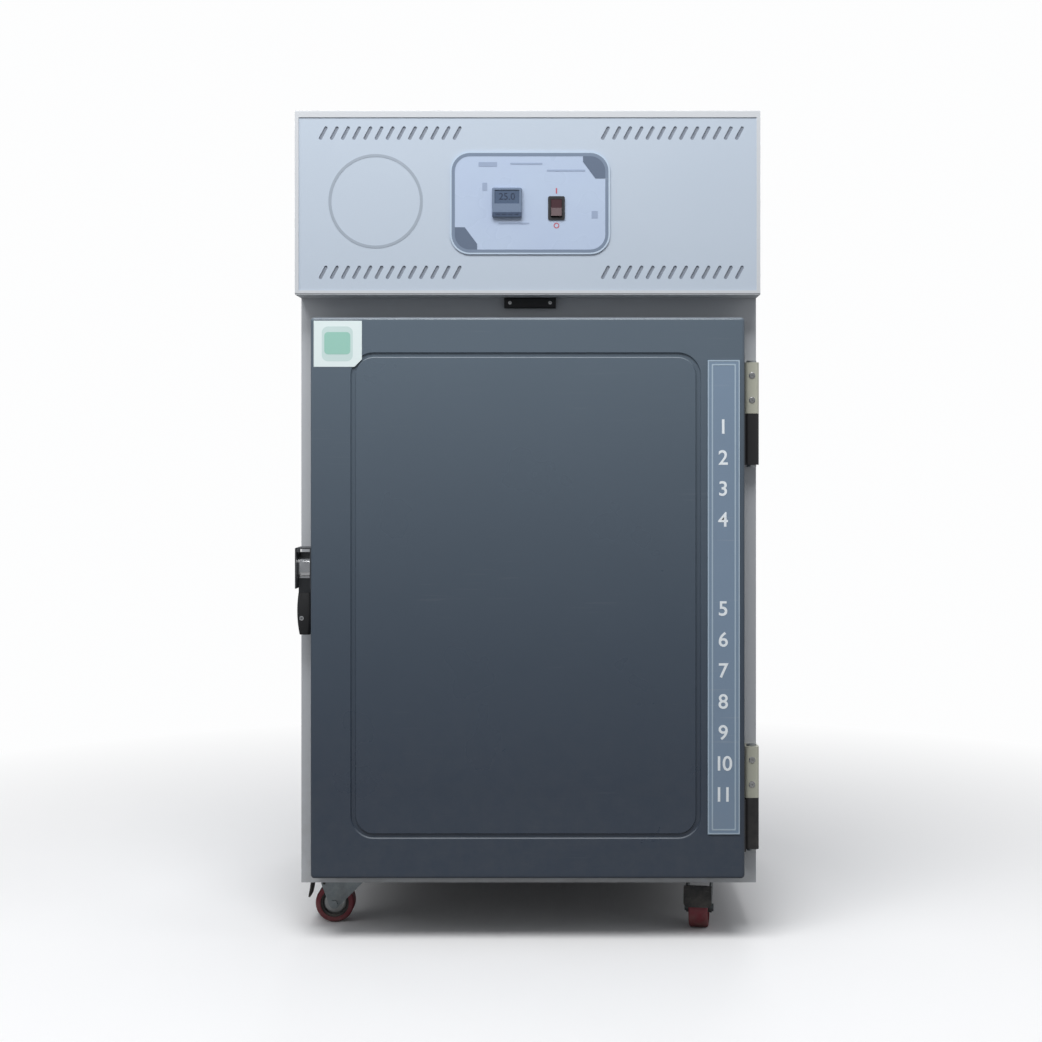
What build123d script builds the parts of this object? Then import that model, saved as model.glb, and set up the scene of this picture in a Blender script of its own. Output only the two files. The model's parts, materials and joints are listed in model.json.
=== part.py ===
from build123d import *
from math import cos, radians, sin
import os

# Environmental test chamber: an insulated reach-in cabinet on castors with its
# refrigeration unit in the head. Millimetres. The door faces -Y, +X is on the right
# of someone facing the door, and the origin lies on the floor under the middle.

os.makedirs("parts", exist_ok=True)

# Cabinet casing
body_width = 750
body_depth = 700
body_height = 965
floor_gap = 85  # floor to the underside of the cabinet
sheet = 1.5  # painted steel
side_fold = 18  # flanges turned in along the side panels
base_sheet = 2
base_rim = 30
channel_width = 90  # stiffening channels over the castors
channel_height = 24
opening_corner = 12
fit = 0.5  # assembly clearance between sheets

# Insulated cavity
wall_thickness = 70  # insulation all round the cavity
cavity_width = body_width - 2 * wall_thickness
cavity_height = body_height - 2 * wall_thickness
cavity_depth = body_depth - wall_thickness
liner_sheet = 1
liner_seam = 0.2
pipe_port_radius = 26

# Head
head_height = 295
head_overhang = 65  # the head stands this far ahead of the face frame, as the door does
lid_lip = 11
head_side_lip = 6
deck_lip = 5
slot_length = 24
slot_width = 5.5
slot_lean = 28  # degrees from upright
slot_pitch = 18
slots_in_row = 13
slot_rows_apart = 224.5
slot_left_inset = 153.5  # casing's left side to the middle of the left rows
slot_right_inset = 141.5
slot_centre_rise = 146.5  # deck to the middle between both rows
grille_slot_length = 70
grille_slot_height = 6
grille_pitch = 16
grille_rows = 13
grille_inset = 185  # casing's right side to the middle of the slots

# Control plate and what it carries
plate_width = 258
plate_height = 166
plate_corner = 32
plate_thickness = 2
plate_x = 4
plate_rise = 146
controller_size = 48
controller_bezel = 7
controller_body = 44
controller_depth = 62
controller_x = -33
controller_rise = 146
window_width = 40
window_height = 22
window_depth = 1.2
key_size = 6
key_pitch = 10
key_height = 0.8
switch_width = 27
switch_height = 38
switch_bezel = 2
switch_body_depth = 22
switch_x = 46.5
switch_rise = 137.5
rocker_width = 17
rocker_length = 27.4
rocker_gap = 0.8
rocker_tilt = 8  # degrees either side of level
rocker_crown = 3.6
rocker_saddle = 1.8
rocker_root = 3
rocker_pocket = 9
rocker_pin_radius = 1.5
rocker_pin_reach = 1

# Door
door_side_margin = 25
door_top_margin = 38
door_rise = 22  # underside of the cabinet to the door's lower edge
door_width = body_width - 2 * door_side_margin
door_height = body_height - door_rise - door_top_margin
door_edge = 6  # radius round the door's front edges
gasket_depth = 9.7
gasket_width = 22
gasket_neck = 12
gasket_foot = 3
gasket_lap = 20  # cavity edge to the middle of the gasket
seal_gap = 0.3
plug_reach = 12  # the door's inner step past the face of the frame
plug_gap = 12
groove_width = 9
groove_depth = 3
groove_corner = 33
groove_left = 69
groove_right = 75
groove_top = 61
groove_bottom = 69
strip_width = 52
strip_thickness = 1.5
strip_right = 8
strip_bottom = 72
strip_top = 69
strip_height = door_height - strip_bottom - strip_top

# Hinges
hinge_height = 167
hinge_split = 0.4
hinge_lead = 22  # hinge axis ahead of the face frame
hinge_inset = 10  # hinge axis in from the cabinet side
knuckle_size = 23
knuckle_corner = 6
hinge_leaf = 3
hinge_web = 14
hinge_pin_radius = 5
hinge_pin_head = 8
hinge_pin_cap = 3
hinge_side_plate = 42
running_fit = 0.05
upper_hinge_drop = 154.5  # door's upper edge to the middle of the upper hinge
lower_hinge_rise = 124

# Latch
latch_rise = 462  # door's lower edge to the middle of the latch
latch_width = 26
latch_height = 142
latch_case_height = 66
latch_case_depth = 44
latch_cheek = 2
latch_side_gap = 0.6
latch_setback = 7
pivot_drop = 40
pivot_back = 25
pivot_radius = 3
hub_radius = 9
lever_shank = 8
tongue_length = 32
claw_width = 12
claw_thickness = 7
claw_tooth = 5.5
roller_radius = 4
roller_lead = 14
keeper_plate = 3
keeper_height = 50
keeper_ear = 2
grip_depth = 17
grip_corner = 6
sensor_width = 85
sensor_height = 17
sensor_depth = 14
sensor_x = 2.5

# Castors
castor_inset_x = 85
castor_inset_y = 85
castor_trail = 40
castor_plate_length = 74
castor_plate_width = 62
castor_plate_sheet = 2.5
race_radius = 25
race_height = 6
fork_gap = 0.3
fork_sheet = 3
crown_radius = 25.5
king_radius = 6
king_head = 10
king_head_height = 3
wheel_diameter = 65
wheel_width = 32
hub_wheel_radius = 24
hub_width = 26
tread_round = 4
cheek_clearance = 2
axle_radius = 4
axle_head = 6.5
axle_head_thickness = 3
pedal_lead = 17  # pedal pin ahead of the wheel axle, on the trailing side
pedal_pin_radius = 2.5
pedal_length = 22
pedal_width = 30
pedal_sheet = 2.5
pedal_neck = 7  # pin to where the pedal widens past the fork's cheeks
pedal_head_width = 46
pedal_apron = 34  # the plate turned down over the wheel
pedal_corner = 7
pedal_lift = 10  # degrees above level when released
wheel_clearance = 4  # pedal pin above the tread
castor_headings = {"front_left": 180, "front_right": 262, "rear_left": 75, "rear_right": 100}

# Shelves and air side
shelf_count = 3
shelf_first_rise = 190
shelf_pitch = 200
shelf_sheet = 1.2
shelf_edge = 16
shelf_front_gap = 40
shelf_back_gap = 28
shelf_slot_length = 150
shelf_slot_width = 12
shelf_slot_pitch = 28
shelf_slot_rows = 14
rail_width = 14
rail_height = 22
rail_sheet = 1.5
duct_depth = 92
shelf_depth = cavity_depth - duct_depth - shelf_front_gap - shelf_back_gap
duct_sheet = 1.2
duct_side_gap = 6
duct_fan_radius = 96
duct_bar = 4
duct_bar_pitch = 16
duct_bar_count = 11
duct_fan_drop = 150
return_slot_length = 60
return_slot_height = 8
coil_side_room = 105  # for the pipes at the ends of the coil
coil_width = cavity_width - 2 * coil_side_room
coil_depth = 50
coil_height = 200
coil_drop = 290
fin_pitch = 10
fin_gap = 5
fin_depth = 4
tube_radius = 5
tube_pitch = 50
fan_hub_radius = 20
fan_blades = 5
blade_chord_root = 26
blade_chord_tip = 48
blade_sheet = 1.6
blade_pitch_root = 42
blade_pitch_tip = 24
evaporator_blade_radius = 88
fan_behind_cover = 14
motor_radius = 32
motor_length = 38
motor_shaft_radius = 4
motor_gap = 10
motor_foot_width = 96
motor_foot_height = 28
probe_radius = 3
probe_length = 90
probe_x = 150

# Refrigeration unit in the head
compressor_radius = 72
compressor_height = 175
compressor_seam = 5
compressor_dome = 34
compressor_inset = 170
compressor_y = 120
mount_radius = 11
mount_height = 18
mount_spread = 78
foot_sheet = 3
condenser_width = 300
condenser_height = 230
condenser_depth = 50
condenser_grille_gap = 12
shroud_sheet = 1.2
shroud_depth = 36
condenser_blade_radius = 96
pipe_radius = 5
pipe_bend = 18
drier_radius = 12
drier_length = 90
tray_width = 240
tray_depth = 130
tray_sheet = 1.5
tray_setback = 110
gland_radius = 12
gland_reach = 14
gland_inset = 75
gland_rise = 48

# Places worked out from the sizes
half_width = body_width / 2
front_reach = controller_bezel + key_height + plate_thickness - sheet
total_depth = front_reach + head_overhang + body_depth + gland_reach
front_y = front_reach - total_depth / 2
frame_y = front_y + head_overhang
back_y = frame_y + body_depth
base_z = floor_gap
deck_z = base_z + body_height
top_z = deck_z + head_height
shell_front_y = frame_y + 2 * sheet
shell_back_y = back_y - 2 * sheet
shell_depth = shell_back_y - shell_front_y
shell_mid_y = (shell_front_y + shell_back_y) / 2
cavity_z = base_z + wall_thickness
cavity_mid_z = cavity_z + cavity_height / 2
cavity_top_z = cavity_z + cavity_height
cavity_front_y = frame_y + sheet
cavity_back_y = frame_y + cavity_depth
cavity_run = cavity_back_y - cavity_front_y
door_z = base_z + door_rise
door_mid_z = door_z + door_height / 2
door_top_z = door_z + door_height
door_half = door_width / 2
door_back_y = frame_y - gasket_depth - seal_gap
duct_front_y = cavity_back_y - duct_depth
axle_z = wheel_diameter / 2
fork_top_z = base_z - castor_plate_sheet - race_height - fork_gap
front_castor_y = frame_y + castor_inset_y
rear_castor_y = back_y - castor_inset_y
castor_x = half_width - castor_inset_x
port_x = -(coil_width / 2 + 60)
slot_left_x = slot_left_inset - half_width
slot_right_x = half_width - slot_right_inset
grille_x = half_width - grille_inset
condenser_x = grille_x
compressor_x = compressor_inset - half_width
gland_x = gland_inset - half_width
port_y = cavity_back_y - duct_depth / 2


# An upright plane that faces the door's side, at a given depth
def facing(y):
    return Plane.XZ.offset(-y)


# Base tray with a hat channel over each pair of castors
with BuildPart() as base_tray:
    with BuildSketch(Plane.XY.offset(base_z)):
        with Locations((0, shell_mid_y)):
            Rectangle(body_width - 2 * sheet, shell_depth)
    extrude(amount=base_rim)
    with BuildSketch(Plane.XY.offset(base_z + base_sheet)):
        with Locations((0, shell_mid_y)):
            Rectangle(body_width - 2 * (sheet + base_sheet), shell_depth - 2 * base_sheet)
    extrude(amount=base_rim, mode=Mode.SUBTRACT)
    for y in (front_castor_y, rear_castor_y):
        with BuildSketch(Plane.YZ):
            with Locations((y, base_z + base_sheet)):
                Rectangle(channel_width, channel_height, align=(Align.CENTER, Align.MIN))
                Rectangle(
                    channel_width - 2 * base_sheet,
                    channel_height - base_sheet,
                    align=(Align.CENTER, Align.MIN),
                    mode=Mode.SUBTRACT,
                )
        extrude(amount=half_width - sheet - base_sheet, both=True)
base_tray.part.label = "base_tray"
export_step(base_tray.part, "parts/base_tray.step")

# Side panels, folded in along the front and the back
for side, hand in (("left", -1), ("right", 1)):
    with BuildPart() as side_panel:
        with BuildSketch(Plane.XY.offset(base_z)):
            with Locations((hand * (half_width - side_fold / 2), (cavity_front_y + back_y - sheet) / 2)):
                Rectangle(side_fold, body_depth - 2 * sheet)
            with Locations((hand * (half_width - sheet - side_fold / 2), shell_mid_y)):
                Rectangle(side_fold, shell_depth, mode=Mode.SUBTRACT)
        extrude(amount=body_height - sheet)
    side_panel.part.label = f"side_panel_{side}"
    export_step(side_panel.part, f"parts/side_panel_{side}.step")

# Back panel
with BuildPart() as back_panel:
    with BuildSketch(facing(back_y)):
        with Locations((0, base_z)):
            Rectangle(body_width, body_height - sheet, align=(Align.CENTER, Align.MIN))
    extrude(amount=sheet)
back_panel.part.label = "back_panel"
export_step(back_panel.part, "parts/back_panel.step")

# Deck: roof of the cabinet and floor of the head, with a folded front edge
with BuildPart() as deck_panel:
    with BuildSketch(Plane.XY.offset(deck_z - sheet)):
        with Locations((0, (front_y + back_y) / 2)):
            Rectangle(body_width, body_depth + head_overhang)
        with Locations((port_x, port_y)):
            Circle(pipe_port_radius, mode=Mode.SUBTRACT)
    extrude(amount=sheet)
    with BuildSketch(facing(front_y)):
        with Locations((0, deck_z)):
            Rectangle(body_width - 2 * head_side_lip, deck_lip, align=(Align.CENTER, Align.MIN))
    extrude(amount=-sheet)
deck_panel.part.label = "deck_panel"
export_step(deck_panel.part, "parts/deck_panel.step")

# Face frame round the cavity opening
with BuildPart() as face_frame:
    with BuildSketch(facing(frame_y)):
        with Locations((0, base_z)):
            Rectangle(body_width, body_height - sheet, align=(Align.CENTER, Align.MIN))
        with Locations((0, cavity_mid_z)):
            RectangleRounded(cavity_width, cavity_height, opening_corner, mode=Mode.SUBTRACT)
    extrude(amount=-sheet)
face_frame.part.label = "face_frame"
export_step(face_frame.part, "parts/face_frame.step")

# Liner: five stainless sheets with seams between them
with BuildPart() as inner_liner:
    with BuildSketch(facing(cavity_front_y)):
        with Locations((0, cavity_z - liner_sheet), (0, cavity_top_z)):
            Rectangle(cavity_width, liner_sheet, align=(Align.CENTER, Align.MIN))
        with GridLocations(cavity_width + liner_sheet + 2 * liner_seam, 1, 2, 1):
            with Locations((0, cavity_mid_z)):
                Rectangle(liner_sheet, cavity_height + 2 * liner_sheet)
    extrude(amount=-cavity_run)
    with BuildSketch(facing(cavity_back_y + liner_seam)):
        with Locations((0, cavity_mid_z)):
            Rectangle(cavity_width + 2 * liner_sheet, cavity_height + 2 * liner_sheet)
    extrude(amount=-liner_sheet)
    with BuildSketch(Plane.XY.offset(cavity_top_z)):
        with Locations((port_x, port_y)):
            Circle(pipe_port_radius)
    extrude(amount=liner_sheet, mode=Mode.SUBTRACT)
inner_liner.part.label = "inner_liner"
export_step(inner_liner.part, "parts/inner_liner.step")

# Fibre insulation packed between liner and casing
with BuildPart() as insulation:
    with BuildSketch(Plane.XY.offset(base_z + base_rim)):
        with Locations((0, shell_mid_y)):
            Rectangle(body_width - 2 * sheet, shell_depth)
    extrude(amount=body_height - sheet - base_rim)
    with BuildSketch(facing(shell_front_y)):
        with Locations((0, cavity_mid_z)):
            Rectangle(
                cavity_width + 2 * (2 * liner_sheet + liner_seam),
                cavity_height + 2 * (liner_sheet + liner_seam),
            )
    extrude(amount=-(cavity_back_y + 2 * liner_seam + liner_sheet - shell_front_y), mode=Mode.SUBTRACT)
    with BuildSketch(Plane.XY.offset(cavity_top_z)):
        with Locations((port_x, port_y)):
            Circle(pipe_port_radius)
    extrude(amount=deck_z - cavity_top_z, mode=Mode.SUBTRACT)
insulation.part.label = "insulation"
export_step(insulation.part, "parts/insulation.step")

# Shelves: folded trays with rows of slots, resting on angle rails
shelf_width = cavity_width - 2 * (rail_sheet + 2 * fit)
shelf_mid_y = frame_y + plug_reach + shelf_front_gap + shelf_depth / 2
shelf_levels = [cavity_z + shelf_first_rise + shelf_pitch * i for i in range(shelf_count)]
with BuildPart() as shelves:
    for level in shelf_levels:
        with BuildSketch(Plane.XY.offset(level)):
            with Locations((0, shelf_mid_y)):
                Rectangle(shelf_width, shelf_depth)
        extrude(amount=-shelf_edge)
        with BuildSketch(Plane.XY.offset(level - shelf_sheet)):
            with Locations((0, shelf_mid_y)):
                Rectangle(shelf_width - 2 * shelf_sheet, shelf_depth - 2 * shelf_sheet)
        extrude(amount=-shelf_edge, mode=Mode.SUBTRACT)
        with BuildSketch(Plane.XY.offset(level)):
            with Locations((0, shelf_mid_y)):
                with GridLocations(shelf_width / 3, shelf_slot_pitch, 3, shelf_slot_rows):
                    Rectangle(shelf_slot_length, shelf_slot_width)
        extrude(amount=-shelf_sheet, mode=Mode.SUBTRACT)
shelves.part.label = "shelves"
export_step(shelves.part, "parts/shelves.step")

# Angle rails on the liner's side walls, two for each shelf
with BuildPart() as shelf_rails:
    for level in shelf_levels:
        for hand in (-1, 1):
            wall_x = hand * (cavity_width / 2)
            with BuildSketch(facing(shelf_mid_y - shelf_depth / 2)):
                with Locations((wall_x - hand * rail_sheet / 2, level - shelf_edge - rail_sheet)):
                    Rectangle(rail_sheet, rail_height, align=(Align.CENTER, Align.MIN))
                with Locations((wall_x - hand * rail_width / 2, level - shelf_edge - rail_sheet)):
                    Rectangle(rail_width, rail_sheet, align=(Align.CENTER, Align.MIN))
            extrude(amount=-shelf_depth)
shelf_rails.part.label = "shelf_rails"
export_step(shelf_rails.part, "parts/shelf_rails.step")

# Duct cover in front of the evaporator: a folded pan with a barred fan mouth above
# and a row of return slots below
fan_z = cavity_top_z - duct_fan_drop
duct_width = cavity_width - 2 * duct_side_gap
duct_height = cavity_height - 2 * duct_side_gap
with BuildPart() as duct_cover:
    with BuildSketch(facing(duct_front_y)):
        with Locations((0, cavity_mid_z)):
            Rectangle(duct_width, duct_height)
    extrude(amount=-duct_depth)
    with BuildSketch(facing(duct_front_y + duct_sheet)):
        with Locations((0, cavity_mid_z)):
            Rectangle(duct_width - 2 * duct_sheet, duct_height - 2 * duct_sheet)
    extrude(amount=-duct_depth, mode=Mode.SUBTRACT)
    with BuildSketch(facing(duct_front_y)):
        with Locations((0, fan_z)):
            Circle(duct_fan_radius)
            with GridLocations(1, duct_bar_pitch, 1, duct_bar_count):
                Rectangle(2 * duct_fan_radius + 2, duct_bar, mode=Mode.SUBTRACT)
            Rectangle(duct_bar, 2 * duct_fan_radius + 2, mode=Mode.SUBTRACT)
        with Locations((0, cavity_z + 60)):
            with GridLocations(return_slot_length * 1.35, return_slot_height * 2.2, 6, 4):
                Rectangle(return_slot_length, return_slot_height)
    extrude(amount=-duct_sheet, mode=Mode.SUBTRACT)
    with BuildSketch(Plane.XY.offset(cavity_top_z - duct_side_gap)):
        with Locations((port_x, port_y)):
            Circle(pipe_port_radius)
    extrude(amount=-duct_sheet, mode=Mode.SUBTRACT)
duct_cover.part.label = "duct_cover"
export_step(duct_cover.part, "parts/duct_cover.step")


# A finned coil that faces +Y and -Y, centred on x and y, from z upwards, with return
# bends at both ends
def finned_coil(x, y, z, width, depth, height):
    rows = int((height - tube_pitch / 2) // tube_pitch)
    with BuildPart() as coil:
        with BuildSketch(Plane.XY.offset(z)):
            with Locations((x, y)):
                Rectangle(width, depth)
                with GridLocations(fin_pitch, depth, int(width / fin_pitch) - 1, 2):
                    Rectangle(fin_gap, 2 * fin_depth, mode=Mode.SUBTRACT)
        extrude(amount=height)
        for end in (-1, 1):
            for row in range(rows):
                tube_z = z + height / 2 + (row - (rows - 1) / 2) * tube_pitch
                bend = Plane(
                    origin=(x + end * width / 2, y, tube_z), x_dir=(0, 1, 0), z_dir=(end, 0, 0)
                )
                with BuildSketch(bend):
                    SlotCenterToCenter(depth / 2, 2 * tube_radius)
                extrude(amount=2 * tube_radius)
    return coil


evaporator_z = cavity_top_z - coil_drop - coil_height
evaporator_coil = finned_coil(
    0, cavity_back_y - duct_depth / 2 + 8, evaporator_z, coil_width, coil_depth, coil_height
)
evaporator_coil.part.label = "evaporator_coil"
export_step(evaporator_coil.part, "parts/evaporator_coil.step")

condenser_z = deck_z
condenser_y = back_y - sheet - condenser_grille_gap - condenser_depth / 2
condenser_coil = finned_coil(
    condenser_x, condenser_y, condenser_z, condenser_width, condenser_depth, condenser_height
)
condenser_coil.part.label = "condenser_coil"
export_step(condenser_coil.part, "parts/condenser_coil.step")

# Shroud: a folded box that draws the fan's air through the condenser
condenser_mid_z = condenser_z + condenser_height / 2
shroud_back_y = condenser_y - condenser_depth / 2
shroud_front_y = shroud_back_y - shroud_depth
with BuildPart() as condenser_shroud:
    with BuildSketch(facing(shroud_front_y)):
        with Locations((condenser_x, condenser_mid_z)):
            Rectangle(condenser_width, condenser_height)
    extrude(amount=-shroud_depth)
    with BuildSketch(facing(shroud_front_y + shroud_sheet)):
        with Locations((condenser_x, condenser_mid_z)):
            Rectangle(condenser_width - 2 * shroud_sheet, condenser_height - 2 * shroud_sheet)
    extrude(amount=-shroud_depth, mode=Mode.SUBTRACT)
    with BuildSketch(facing(shroud_front_y)):
        with Locations((condenser_x, condenser_mid_z)):
            Circle(condenser_blade_radius + 2 * fit + 3)
    extrude(amount=-shroud_sheet, mode=Mode.SUBTRACT)
condenser_shroud.part.label = "condenser_shroud"
export_step(condenser_shroud.part, "parts/condenser_shroud.step")

# Fan rotors: a hub with twisted blades, bored for the motor shaft
evaporator_fan_y = duct_front_y + fan_behind_cover
condenser_fan_y = shroud_front_y + shroud_depth / 2
rotors = {
    "evaporator_fan": (0, evaporator_fan_y, fan_z, evaporator_blade_radius),
    "condenser_fan": (condenser_x, condenser_fan_y, condenser_mid_z, condenser_blade_radius),
}
hub_length = blade_chord_root * sin(radians(blade_pitch_root))
for rotor, (x, y, z, blade_radius) in rotors.items():
    spin = Plane(origin=(x, y, z), x_dir=(1, 0, 0), z_dir=(0, -1, 0))
    with BuildPart() as fan:
        for blade in range(fan_blades):
            turn = radians(360 / fan_blades * blade)
            outward = Vector(cos(turn), 0, sin(turn))
            around = Vector(-sin(turn), 0, cos(turn))
            for reach, chord, pitch in (
                (fan_hub_radius - 3, blade_chord_root, blade_pitch_root),
                (blade_radius - 2, blade_chord_tip, blade_pitch_tip),
            ):
                with BuildSketch(
                    Plane(origin=Vector(x, y, z) + outward * reach, x_dir=around, z_dir=outward)
                ):
                    Rectangle(chord, blade_sheet, rotation=pitch)
            loft(ruled=True)
        with BuildSketch(spin.offset(-hub_length / 2)):
            Circle(fan_hub_radius)
        extrude(amount=hub_length)
        with BuildSketch(spin.offset(-hub_length / 2)):
            Circle(motor_shaft_radius + running_fit)
        extrude(amount=hub_length, mode=Mode.SUBTRACT)
    fan.part.label = rotor
    export_step(fan.part, f"parts/{rotor}.step")

# Fan motors: one on the cavity's back wall, one on a bracket from the head's floor
with BuildPart() as fan_motors:
    rear_spin = facing(evaporator_fan_y + hub_length / 2 + motor_gap)
    rear_face_y = evaporator_fan_y + hub_length / 2 + motor_gap + motor_length
    with BuildSketch(rear_spin):
        with Locations((0, fan_z)):
            Circle(motor_radius)
    extrude(amount=-motor_length)
    with BuildSketch(facing(rear_face_y)):
        with Locations((0, fan_z)):
            Rectangle(motor_foot_width, motor_foot_height)
    extrude(amount=-(cavity_back_y - rear_face_y))
    with BuildSketch(facing(evaporator_fan_y)):
        with Locations((0, fan_z)):
            Circle(motor_shaft_radius)
    extrude(amount=-(hub_length / 2 + motor_gap))
    front_face_y = condenser_fan_y - hub_length / 2 - motor_gap
    with BuildSketch(facing(front_face_y)):
        with Locations((condenser_x, condenser_mid_z)):
            Circle(motor_radius)
    extrude(amount=motor_length)
    with BuildSketch(facing(front_face_y)):
        with Locations((condenser_x, condenser_mid_z)):
            Circle(motor_shaft_radius)
    extrude(amount=-(hub_length / 2 + motor_gap))
    with BuildSketch(facing(front_face_y - motor_length / 4)):
        with Locations((condenser_x, deck_z)):
            Rectangle(motor_foot_width, base_sheet, align=(Align.CENTER, Align.MIN))
            Rectangle(
                motor_foot_height, condenser_mid_z - deck_z, align=(Align.CENTER, Align.MIN)
            )
    extrude(amount=motor_length / 2)
fan_motors.part.label = "fan_motors"
export_step(fan_motors.part, "parts/fan_motors.step")

# Air temperature probe clipped to the duct cover
with BuildPart() as temperature_probe:
    with BuildSketch(facing(duct_front_y)):
        with Locations((probe_x, fan_z)):
            RectangleRounded(5 * probe_radius, 3 * probe_radius, probe_radius)
    extrude(amount=3 * probe_radius)
    with BuildSketch(Plane.XY.offset(fan_z - probe_length)):
        with Locations((probe_x, duct_front_y - 1.5 * probe_radius)):
            Circle(probe_radius)
    extrude(amount=probe_length)
temperature_probe.part.label = "temperature_probe"
export_step(temperature_probe.part, "parts/temperature_probe.step")

# Head sides: a narrow lip shows at the front, a fold carries the rear grille
for side, hand in (("left", -1), ("right", 1)):
    with BuildPart() as head_side:
        with BuildSketch(Plane.XY.offset(deck_z)):
            with Locations((hand * (half_width - sheet / 2), (front_y + back_y - sheet) / 2)):
                Rectangle(sheet, body_depth + head_overhang - sheet)
            with Locations((hand * (half_width - side_fold / 2), back_y - 1.5 * sheet)):
                Rectangle(side_fold, sheet)
        extrude(amount=head_height - sheet)
        with BuildSketch(Plane.XY.offset(deck_z)):
            with Locations((hand * (half_width - head_side_lip / 2), front_y + sheet / 2)):
                Rectangle(head_side_lip, sheet)
        extrude(amount=head_height - lid_lip)
        with BuildSketch(Plane.XY.offset(top_z - lid_lip)):
            with Locations((hand * (half_width - sheet / 2), front_y + sheet / 2)):
                Rectangle(sheet, sheet)
        extrude(amount=lid_lip, mode=Mode.SUBTRACT)
    head_side.part.label = f"head_side_{side}"
    export_step(head_side.part, f"parts/head_side_{side}.step")

# Lid with a turned-down front edge
with BuildPart() as head_lid:
    with BuildSketch(Plane.YZ):
        with Locations((front_y, top_z)):
            Rectangle(body_depth + head_overhang, sheet, align=(Align.MIN, Align.MAX))
            Rectangle(sheet, lid_lip, align=(Align.MIN, Align.MAX))
    extrude(amount=half_width, both=True)
    front_fold = head_lid.edges().filter_by(Axis.X).group_by(Axis.Y)[0].sort_by(Axis.Z)[-1]
    fillet(front_fold, radius=sheet * 0.9)
head_lid.part.label = "head_lid"
export_step(head_lid.part, "parts/head_lid.step")

# Slotted fascia behind the lips, cut out for the controller and the switch
slot_z = deck_z + slot_centre_rise
controller_z = deck_z + controller_rise
switch_z = deck_z + switch_rise
switch_body_width = rocker_width + 2 * rocker_gap + 4
switch_body_height = rocker_length + 2 * rocker_gap + 5
with BuildPart() as head_fascia:
    with BuildSketch(facing(front_y + sheet)):
        with Locations((0, deck_z + fit)):
            Rectangle(
                body_width - 2 * (sheet + fit),
                head_height - sheet - 2 * fit,
                align=(Align.CENTER, Align.MIN),
            )
        for x in (slot_left_x, slot_right_x):
            with Locations((x, slot_z)):
                with GridLocations(slot_pitch, slot_rows_apart, slots_in_row, 2):
                    SlotOverall(
                        slot_length, slot_width, rotation=90 - slot_lean, mode=Mode.SUBTRACT
                    )
        with Locations((controller_x, controller_z)):
            Rectangle(controller_body + 2 * fit, controller_body + 2 * fit, mode=Mode.SUBTRACT)
        with Locations((switch_x, switch_z)):
            Rectangle(
                switch_body_width + 2 * fit, switch_body_height + 2 * fit, mode=Mode.SUBTRACT
            )
    extrude(amount=-sheet)
head_fascia.part.label = "head_fascia"
export_step(head_fascia.part, "parts/head_fascia.step")

# Control plate
fascia_y = front_y + sheet
control_y = fascia_y - plate_thickness
with BuildPart() as control_plate:
    with BuildSketch(facing(fascia_y)):
        with Locations((plate_x, deck_z + plate_rise)):
            RectangleRounded(plate_width, plate_height, plate_corner)
        with Locations((controller_x, controller_z)):
            Rectangle(controller_body + 2 * fit, controller_body + 2 * fit, mode=Mode.SUBTRACT)
        with Locations((switch_x, switch_z)):
            Rectangle(
                switch_body_width + 2 * fit, switch_body_height + 2 * fit, mode=Mode.SUBTRACT
            )
    extrude(amount=plate_thickness)
control_plate.part.label = "control_plate"
export_step(control_plate.part, "parts/control_plate.step")

# Temperature controller: bezel with a sunk window and four keys, body behind the plate
with BuildPart() as temperature_controller:
    with BuildSketch(facing(control_y)):
        with Locations((controller_x, controller_z)):
            RectangleRounded(controller_size, controller_size, 3)
    extrude(amount=controller_bezel)
    front_rim = temperature_controller.faces().sort_by(Axis.Y)[0].edges()
    chamfer(front_rim, length=1.5)
    with BuildSketch(facing(control_y - controller_bezel)):
        with Locations((controller_x, controller_z + controller_size / 2 - window_height / 2 - 4)):
            Rectangle(window_width, window_height)
    extrude(amount=-window_depth, mode=Mode.SUBTRACT)
    with BuildSketch(facing(control_y - controller_bezel + window_depth)):
        with Locations((controller_x, controller_z - controller_size / 2 + key_size + 2)):
            with GridLocations(key_pitch, 1, 4, 1):
                Rectangle(key_size, key_size)
    extrude(amount=window_depth + key_height)
    with BuildSketch(facing(control_y)):
        with Locations((controller_x, controller_z)):
            Rectangle(controller_body, controller_body)
    extrude(amount=-controller_depth)
temperature_controller.part.label = "temperature_controller"
export_step(temperature_controller.part, "parts/temperature_controller.step")

# Switch: bezel and body with a pocket for the rocker
with BuildPart() as switch_bezel_piece:
    with BuildSketch(facing(control_y)):
        with Locations((switch_x, switch_z)):
            RectangleRounded(switch_width, switch_height, 3)
    extrude(amount=switch_bezel)
    with BuildSketch(facing(control_y)):
        with Locations((switch_x, switch_z)):
            Rectangle(switch_body_width, switch_body_height)
    extrude(amount=-switch_body_depth)
    with BuildSketch(facing(control_y - switch_bezel)):
        with Locations((switch_x, switch_z)):
            Rectangle(rocker_width + 2 * rocker_gap, rocker_length + 2 * rocker_gap)
    extrude(amount=-(switch_bezel + rocker_pocket), mode=Mode.SUBTRACT)
    with BuildSketch(Plane.YZ.offset(switch_x)):
        with Locations((control_y, switch_z)):
            Circle(rocker_pin_radius + running_fit)
    extrude(
        amount=rocker_width / 2 + rocker_gap + rocker_pin_reach, both=True, mode=Mode.SUBTRACT
    )
switch_bezel_piece.part.label = "switch_bezel"
export_step(switch_bezel_piece.part, "parts/switch_bezel.step")

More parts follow.
